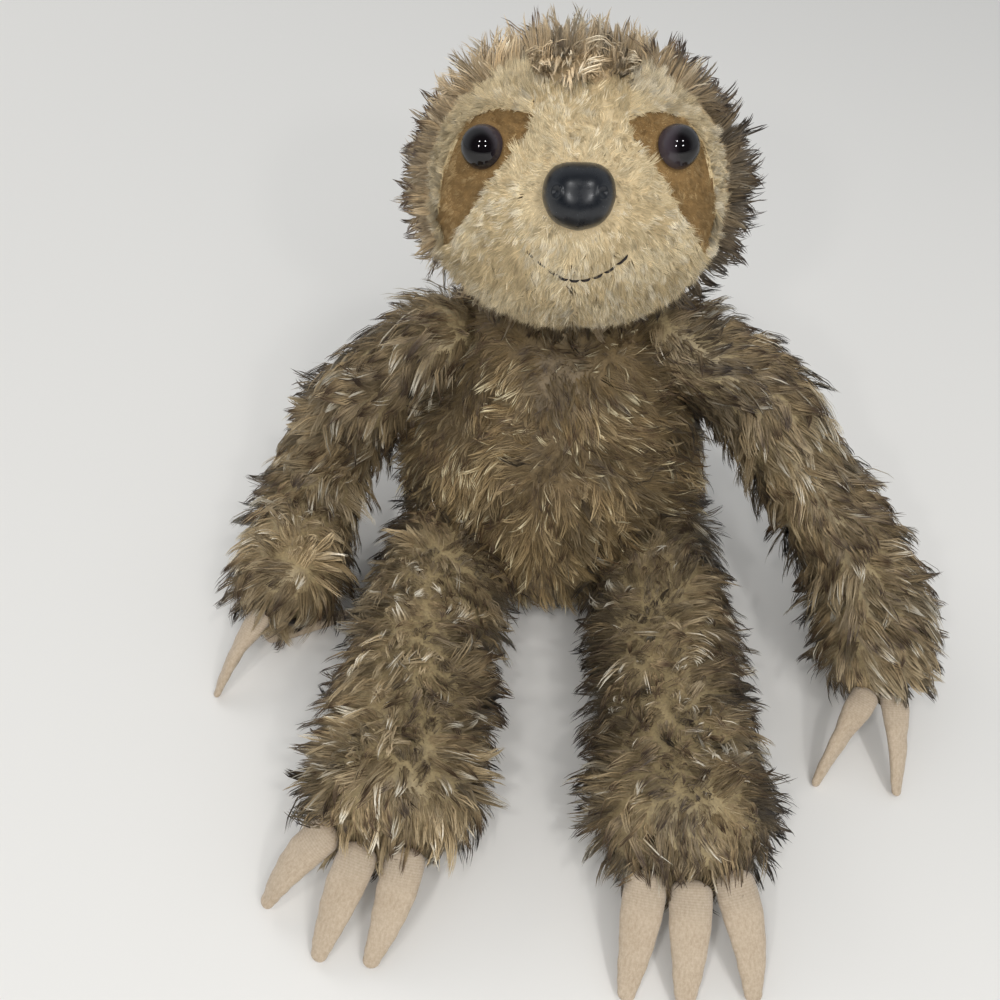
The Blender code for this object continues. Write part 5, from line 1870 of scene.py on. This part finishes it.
@dataclass
class Limb:
    """An arm or a leg: its fur sleeve and its claws."""

    name: str
    side: Side
    joint_name: str
    form: LimbForm
    claw: ClawSize
    claws: list[str]
    outward_nap: float
    parting: float
    # Painted shade: a whole limb's fur is darker on the toy's left, as if that side were in shade.
    lightness: float
    seed: int
    undercoat: float = 2.0 * MM
    bury_depth: float = 4 * MM
    tip_lift: float = 0.0008
    tip_share: float = 0.34
    claw_floor: float = 0.3 * MM
    tucked: str | None = None
    tucked_splay: float = radians(112)
    pile: Pile = LIMB_FUR
    end_trim: float = 0.2
    cuts: dict[str, ClawCut] = field(default_factory=dict)

    def nap(self, points: Array, normals: Array, around: Array, along: Array) -> Array:
        """The fur lies along the limb and parts on its top. The root's dome is combed one way."""
        outward = np.array([self.side.value, 0.0, -0.35])
        parting = normals * (1, 1, 0)
        dome = smooth(1.35, 0.9, distance(points, self.form.middle[0]) / self.form.wide[0])
        dome = dome[:, None] * smooth(0.3, 0.0, normals @ self.form.ahead[0])[:, None]
        combed = along * (1 - dome) + (self.form.ahead[0] * 0.4 + np.array([0.0, 0.0, -0.9])) * dome
        return (
            combed * 0.75 + outward * self.outward_nap + parting * self.parting * (1 - dome)
            + wander(points, 0.024, self.seed + 0.5) * 1.2 + wander(points, 0.010, self.seed + 3.5) * 0.7
        )

    def shade(self, points: Array, normals: Array) -> Array:
        """Painted shade in the crease where the limb joins the body, and painted light on its front and top.
        The hand or the foot is lighter too.
        """
        joint = distance(points, self.form.root) / self.form.length
        # Painted light: the front and the top are lighter, as if lit from there.
        facing = normals @ np.array([0.0, -0.6, 0.8])
        along = 0.76 + 0.26 * smooth(0.12, 0.42, joint) + 0.05 * smooth(0.7, 0.9, joint)
        return along * (0.82 + 0.22 * smooth(-0.1, 0.8, facing)) * self.lightness

    def trim(self, points: Array, normals: Array) -> Array:
        """The fur is shorter at the claws, and where the limb lies on the floor."""
        joint = distance(points, self.form.root) / self.form.length
        return (1 - self.end_trim * smooth(0.80, 0.98, joint)) * (1 - 0.3 * smooth(-0.3, -0.8, normals[:, 2]))

    def build_sleeve(self) -> None:
        """Builds the fur sleeve."""
        joint = Joint.named(self.joint_name)

        def cloth(points: Array, normals: Array) -> Array:
            """Where the sleeve has fur: wherever the body doesn't always hide it."""
            angles = (joint.low, 0.0, joint.high / 2, joint.high)
            return ~always_buried(points, joint, angles, self.bury_depth)

        name = self.name + "_fur"
        skin = wrapped(name, self.form, self.undercoat, Fineness.SLEEVE)
        dyed(lift_off_floor(skin, BACKING_FLOOR), self.pile.skin)
        start = self.undercoat - ROOT_SINK
        coat = Coat(self.form, self.pile, self.nap, cloth, self.seed, start, self.trim, self.shade)
        piece = joined(name, [skin, *coat.meshes(name)])
        dress(piece, FUR_FIBRE)
        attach(piece, self.name)
        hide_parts(self.name + "_fur_sleeve")
        report(piece)

    def claw_frame(self, which: str) -> Matrix:
        """A claw's frame at its hinge. It leans down to the floor, or lies flat if it is tucked."""
        joint = Joint.named(f"{self.name}_{which}_claw_flex")
        up = Vector((0, 0, 1))
        if which == self.tucked:
            heading = Matrix.Rotation(self.tucked_splay, 3, "Z") @ Vector(self.form.heading)
            fall = 0.0
        else:
            heading = up.cross(joint.axis).normalized()
            tip_level = self.claw.thickness / 2 * self.tip_share + self.tip_lift
            fall = math.asin((joint.place.z - tip_level) / self.claw.length)
        along = heading * math.cos(fall) - up * math.sin(fall)
        side = along.cross(up).normalized()
        turned = Matrix((side, along, side.cross(along))).transposed().to_4x4()
        return Matrix.Translation(joint.place) @ turned

    def build_claw(self, which: str) -> None:
        """Builds one fleece claw."""
        cut = self.cuts.get(which, ClawCut())
        size = self.claw
        form = ClawForm(size.length * cut.length, size.width, size.thickness, roll=cut.roll)
        form.sweep_share = cut.sweep
        if which == self.tucked:
            form.arch_share = 0.0
        claw = wrapped(f"{self.name}_{which}_claw_fleece", form, 0.0, Fineness.CLAW)
        points = coordinates(claw)
        knit = claw.data.uv_layers.new(name="knit")
        corner = np.zeros(len(claw.data.loops), np.int32)
        claw.data.loops.foreach_get("vertex_index", corner)
        knit.uv.foreach_set("vector", points[corner][:, :2].astype(np.float32).ravel())
        points += wander(points, 5.0 * MM, self.seed + 9.0) * 0.25 * MM
        move_to(claw, points)
        claw.data.transform(self.claw_frame(which))
        lift_off_floor(claw, self.claw_floor)
        dress(claw, CLAW_FLEECE)
        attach(claw, f"{self.name}_{which}_claw")
        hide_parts(f"{self.name}_{which}_claw")
        report(claw)

    def build(self) -> None:
        """Builds the sleeve and the claws."""
        self.build_sleeve()
        for which in self.claws:
            self.build_claw(which)


ARM_GIRTH = [(0.0, 0.95), (0.2, 1.0), (0.45, 0.98), (0.65, 0.95), (0.8, 1.05), (0.92, 1.08), (1.0, 1.02)]
LEG_WIDTH = [(0.0, 0.95), (0.2, 1.0), (0.45, 1.0), (0.65, 1.1), (0.85, 1.2), (1.0, 1.12)]
LEG_HEIGHT = [(0.0, 0.95), (0.2, 1.0), (0.6, 1.0), (0.85, 1.04), (1.0, 0.96)]
ARM_PATHS = {
    Side.LEFT: [
        (0.00, 0.00, 0.00), (0.22, -0.08, -0.228), (0.33, -0.21, -0.465), (0.425, -0.36, -0.655),
        (0.475, -0.49, -0.797), (0.485, -0.61, -0.921), (0.475, -0.675, -0.978),
    ],
    Side.RIGHT: [
        (0.00, 0.00, 0.00), (-0.19, 0.00, -0.304), (-0.31, 0.01, -0.683), (-0.37, -0.15, -0.864),
        (-0.40, -0.31, -0.949), (-0.41, -0.44, -0.978),
    ],
}
LEG_PATHS = {
    Side.LEFT: [
        (0.00, 0.00, 0.156), (0.005, -0.26, 0.078), (0.005, -0.54, 0.00), (0.00, -0.80, 0.00),
        (0.00, -0.99, 0.00),
    ],
    Side.RIGHT: [
        (0.00, 0.00, 0.156), (-0.065, -0.25, 0.078), (-0.105, -0.51, 0.00), (-0.127, -0.74, 0.00),
        (-0.140, -0.915, 0.00),
    ],
}
ARM_LENGTH, ARM_FLOOR, ARM_HALF = 0.168, 0.0215, 0.0160
LEG_LENGTH, LEG_DROP, LEG_HALF_WIDTH, LEG_HALF_HEIGHT = 0.160, 0.0205, 0.0220, 0.0205
HAND_CLAW = ClawSize(0.038, 0.0110, 0.0070)
FOOT_CLAW = ClawSize(0.040, 0.0150, 0.0085)
# Painted shade: the limbs on the toy's left are darker, as if that side were in shade.
ARM_PAINTED_SIDE_SHADE = {Side.LEFT: 0.88, Side.RIGHT: 0.97}
LEG_PAINTED_SIDE_SHADE = {Side.LEFT: 0.77, Side.RIGHT: 1.02}
HAND_TRIM = {Side.LEFT: 0.25, Side.RIGHT: 0.5}
TUCKED_CLAW = {Side.LEFT: None, Side.RIGHT: "inner"}
ARM_SEED, LEG_SEED = 51, 61
HAND_CLAW_CUTS = {
    Side.LEFT: {"inner": ClawCut(1.08, radians(66)), "outer": ClawCut(1.0, radians(34))},
    Side.RIGHT: {"outer": ClawCut(1.0, radians(-40))},
}
FOOT_CLAW_CUTS = {
    Side.LEFT: {"inner": ClawCut(sweep=0.02), "outer": ClawCut(sweep=0.07)},
    Side.RIGHT: {
        "inner": ClawCut(0.96, sweep=0.14), "middle": ClawCut(0.98, sweep=0.05),
        "outer": ClawCut(0.88, sweep=-0.04),
    },
}


def make_arm(side: Side) -> Limb:
    """The arm of one side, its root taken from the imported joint."""
    name, joint_name = side.word + "_arm", side.word + "_shoulder"
    shoulder = Joint.named(joint_name).place
    form = LimbForm(
        tuple(shoulder), ARM_LENGTH, shoulder.z - ARM_FLOOR, ARM_PATHS[side], ARM_GIRTH, ARM_GIRTH, ARM_HALF,
        ARM_HALF,
    )
    return Limb(
        name, side, joint_name, form, HAND_CLAW, ["inner", "outer"], outward_nap=0.5, parting=0.15,
        lightness=ARM_PAINTED_SIDE_SHADE[side], seed=ARM_SEED + side.value, tucked=TUCKED_CLAW[side],
        cuts=HAND_CLAW_CUTS[side], end_trim=HAND_TRIM[side], pile=ARM_FUR,
    )


def make_leg(side: Side) -> Limb:
    """The leg of one side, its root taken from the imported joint."""
    name, joint_name = side.word + "_leg", side.word + "_hip"
    form = LimbForm(
        tuple(Joint.named(joint_name).place), LEG_LENGTH, LEG_DROP, LEG_PATHS[side], LEG_WIDTH, LEG_HEIGHT,
        LEG_HALF_WIDTH, LEG_HALF_HEIGHT,
    )
    return Limb(
        name, side, joint_name, form, FOOT_CLAW, ["inner", "middle", "outer"], outward_nap=0.1, parting=0.6,
        lightness=LEG_PAINTED_SIDE_SHADE[side], seed=LEG_SEED + side.value, cuts=FOOT_CLAW_CUTS[side],
    )


def dress_inner_nodes() -> None:
    """Gives the solids inside, which stay as they are, their own finishes."""
    for name, node in frame["nodes"].items():
        for ending, finish in INNER_FINISHES.items():
            if name.endswith(ending):
                dress(node, finish)


@dataclass
class Studio:
    """The floor, the light and the camera."""

    camera_place: Spot = (-0.024, -0.394, 0.400)
    camera_dip: float = radians(44.2)
    lens: float = 41.4
    film_width: float = 36
    nearest: float = 0.01
    floor_colour: str = "#e4e1dc"
    sky_colour: str = "#e9edf1"
    sky_strength: float = 0.64
    room_colour: str = "#3b3a3e"
    room_middle: Spot = (-0.05, -0.86, 0.50)
    room_edge: Pair = (0.05, 0.70)
    lamp_aim: Spot = (0.0, -0.06, 0.1)
    dot_places: tuple[Spot, ...] = (
        (-0.36, -1.00, 0.80), (0.34, -1.02, 0.82), (-0.28, -0.72, 1.20), (0.34, -0.70, 1.22),
    )
    dot_size: float = 0.075
    dot_power: float = 1.8

    def build_floor(self) -> None:
        """A plain pale floor."""
        deselect()
        bpy.ops.mesh.primitive_plane_add(size=8)
        floor = bpy.context.object
        floor.name = "floor"
        tree = MaterialTree("pale_floor")
        tree.surface(Base_Color=linear(self.floor_colour), Roughness=0.8, Specular_IOR_Level=0.2)
        floor.data.materials.append(tree.material)

    def lamp(self, name: str, place: Spot, size: float, power: float, gloss: bool) -> None:
        """A square lamp that faces the toy. Without gloss it lights, and isn't mirrored."""
        data = bpy.data.lights.new(name, "AREA")
        data.size = size
        data.energy = power
        thing = bpy.data.objects.new(name, data)
        bpy.context.scene.collection.objects.link(thing)
        thing.location = place
        thing.rotation_euler = (Vector(self.lamp_aim) - Vector(place)).to_track_quat("-Z", "Y").to_euler()
        thing.visible_glossy = gloss

    def build_light(self) -> None:
        """Soft light from all round, a soft lamp, and four small lamps that make the sharp dots in the eyes.

        What is mirrored is a darker room in front of the toy and a bright one behind it.
        """
        world = bpy.data.worlds.new("studio")
        world.use_nodes = True
        tree = NodeTree(world.node_tree)
        sky = linear(self.sky_colour)
        even = tree.tree.nodes["Background"]
        tree.feed(even, "Color", sky)
        tree.feed(even, "Strength", self.sky_strength)
        place = tree.add("ShaderNodeTexCoord")
        ahead = tree.add(
            "ShaderNodeVectorMath", {"operation": "DOT_PRODUCT"}, _0=place.outputs["Generated"],
            _1=Vector(self.room_middle).normalized(),
        )
        share = tree.spread(ahead.outputs["Value"], self.room_edge, kind="SMOOTHSTEP")
        tone = tree.blend(share, sky, linear(self.room_colour))
        mirrored = tree.add("ShaderNodeBackground", Strength=self.sky_strength, Color=tone)
        rays = tree.add("ShaderNodeLightPath")
        both = tree.add(
            "ShaderNodeMixShader", _0=rays.outputs["Is Glossy Ray"], _1=even.outputs[0],
            _2=mirrored.outputs[0],
        )
        tree.feed(tree.tree.nodes["World Output"], "Surface", both.outputs[0])
        bpy.context.scene.world = world
        self.lamp("key", (0.30, -1.15, 1.05), 0.9, 5.5, gloss=False)
        self.lamp("rim", (-0.9, 0.8, 1.0), 0.8, 4.0, gloss=False)
        for i, spot in enumerate(self.dot_places):
            self.lamp(f"dot_{i + 1}", spot, self.dot_size, self.dot_power, gloss=True)

    def build_camera(self) -> None:
        """The camera looks down on the toy, as the one that took the photograph did."""
        data = bpy.data.cameras.new("camera")
        data.sensor_width = self.film_width
        data.lens = self.lens
        data.clip_start = self.nearest
        thing = bpy.data.objects.new("camera", data)
        bpy.context.scene.collection.objects.link(thing)
        thing.location = self.camera_place
        thing.rotation_euler = (math.pi / 2 - self.camera_dip, 0, 0)
        bpy.context.scene.camera = thing

    def build(self) -> None:
        """Builds all three."""
        bpy.context.scene.view_settings.view_transform = "Standard"
        self.build_floor()
        self.build_light()
        self.build_camera()


def main() -> None:
    """Builds the looks in order."""
    logging.basicConfig(level=logging.INFO, format="%(message)s")
    Studio().build()
    Torso().build()
    Head().build()
    for side in Side:
        make_arm(side).build()
        make_leg(side).build()
    dress_inner_nodes()


if __name__ == "__main__":
    main()
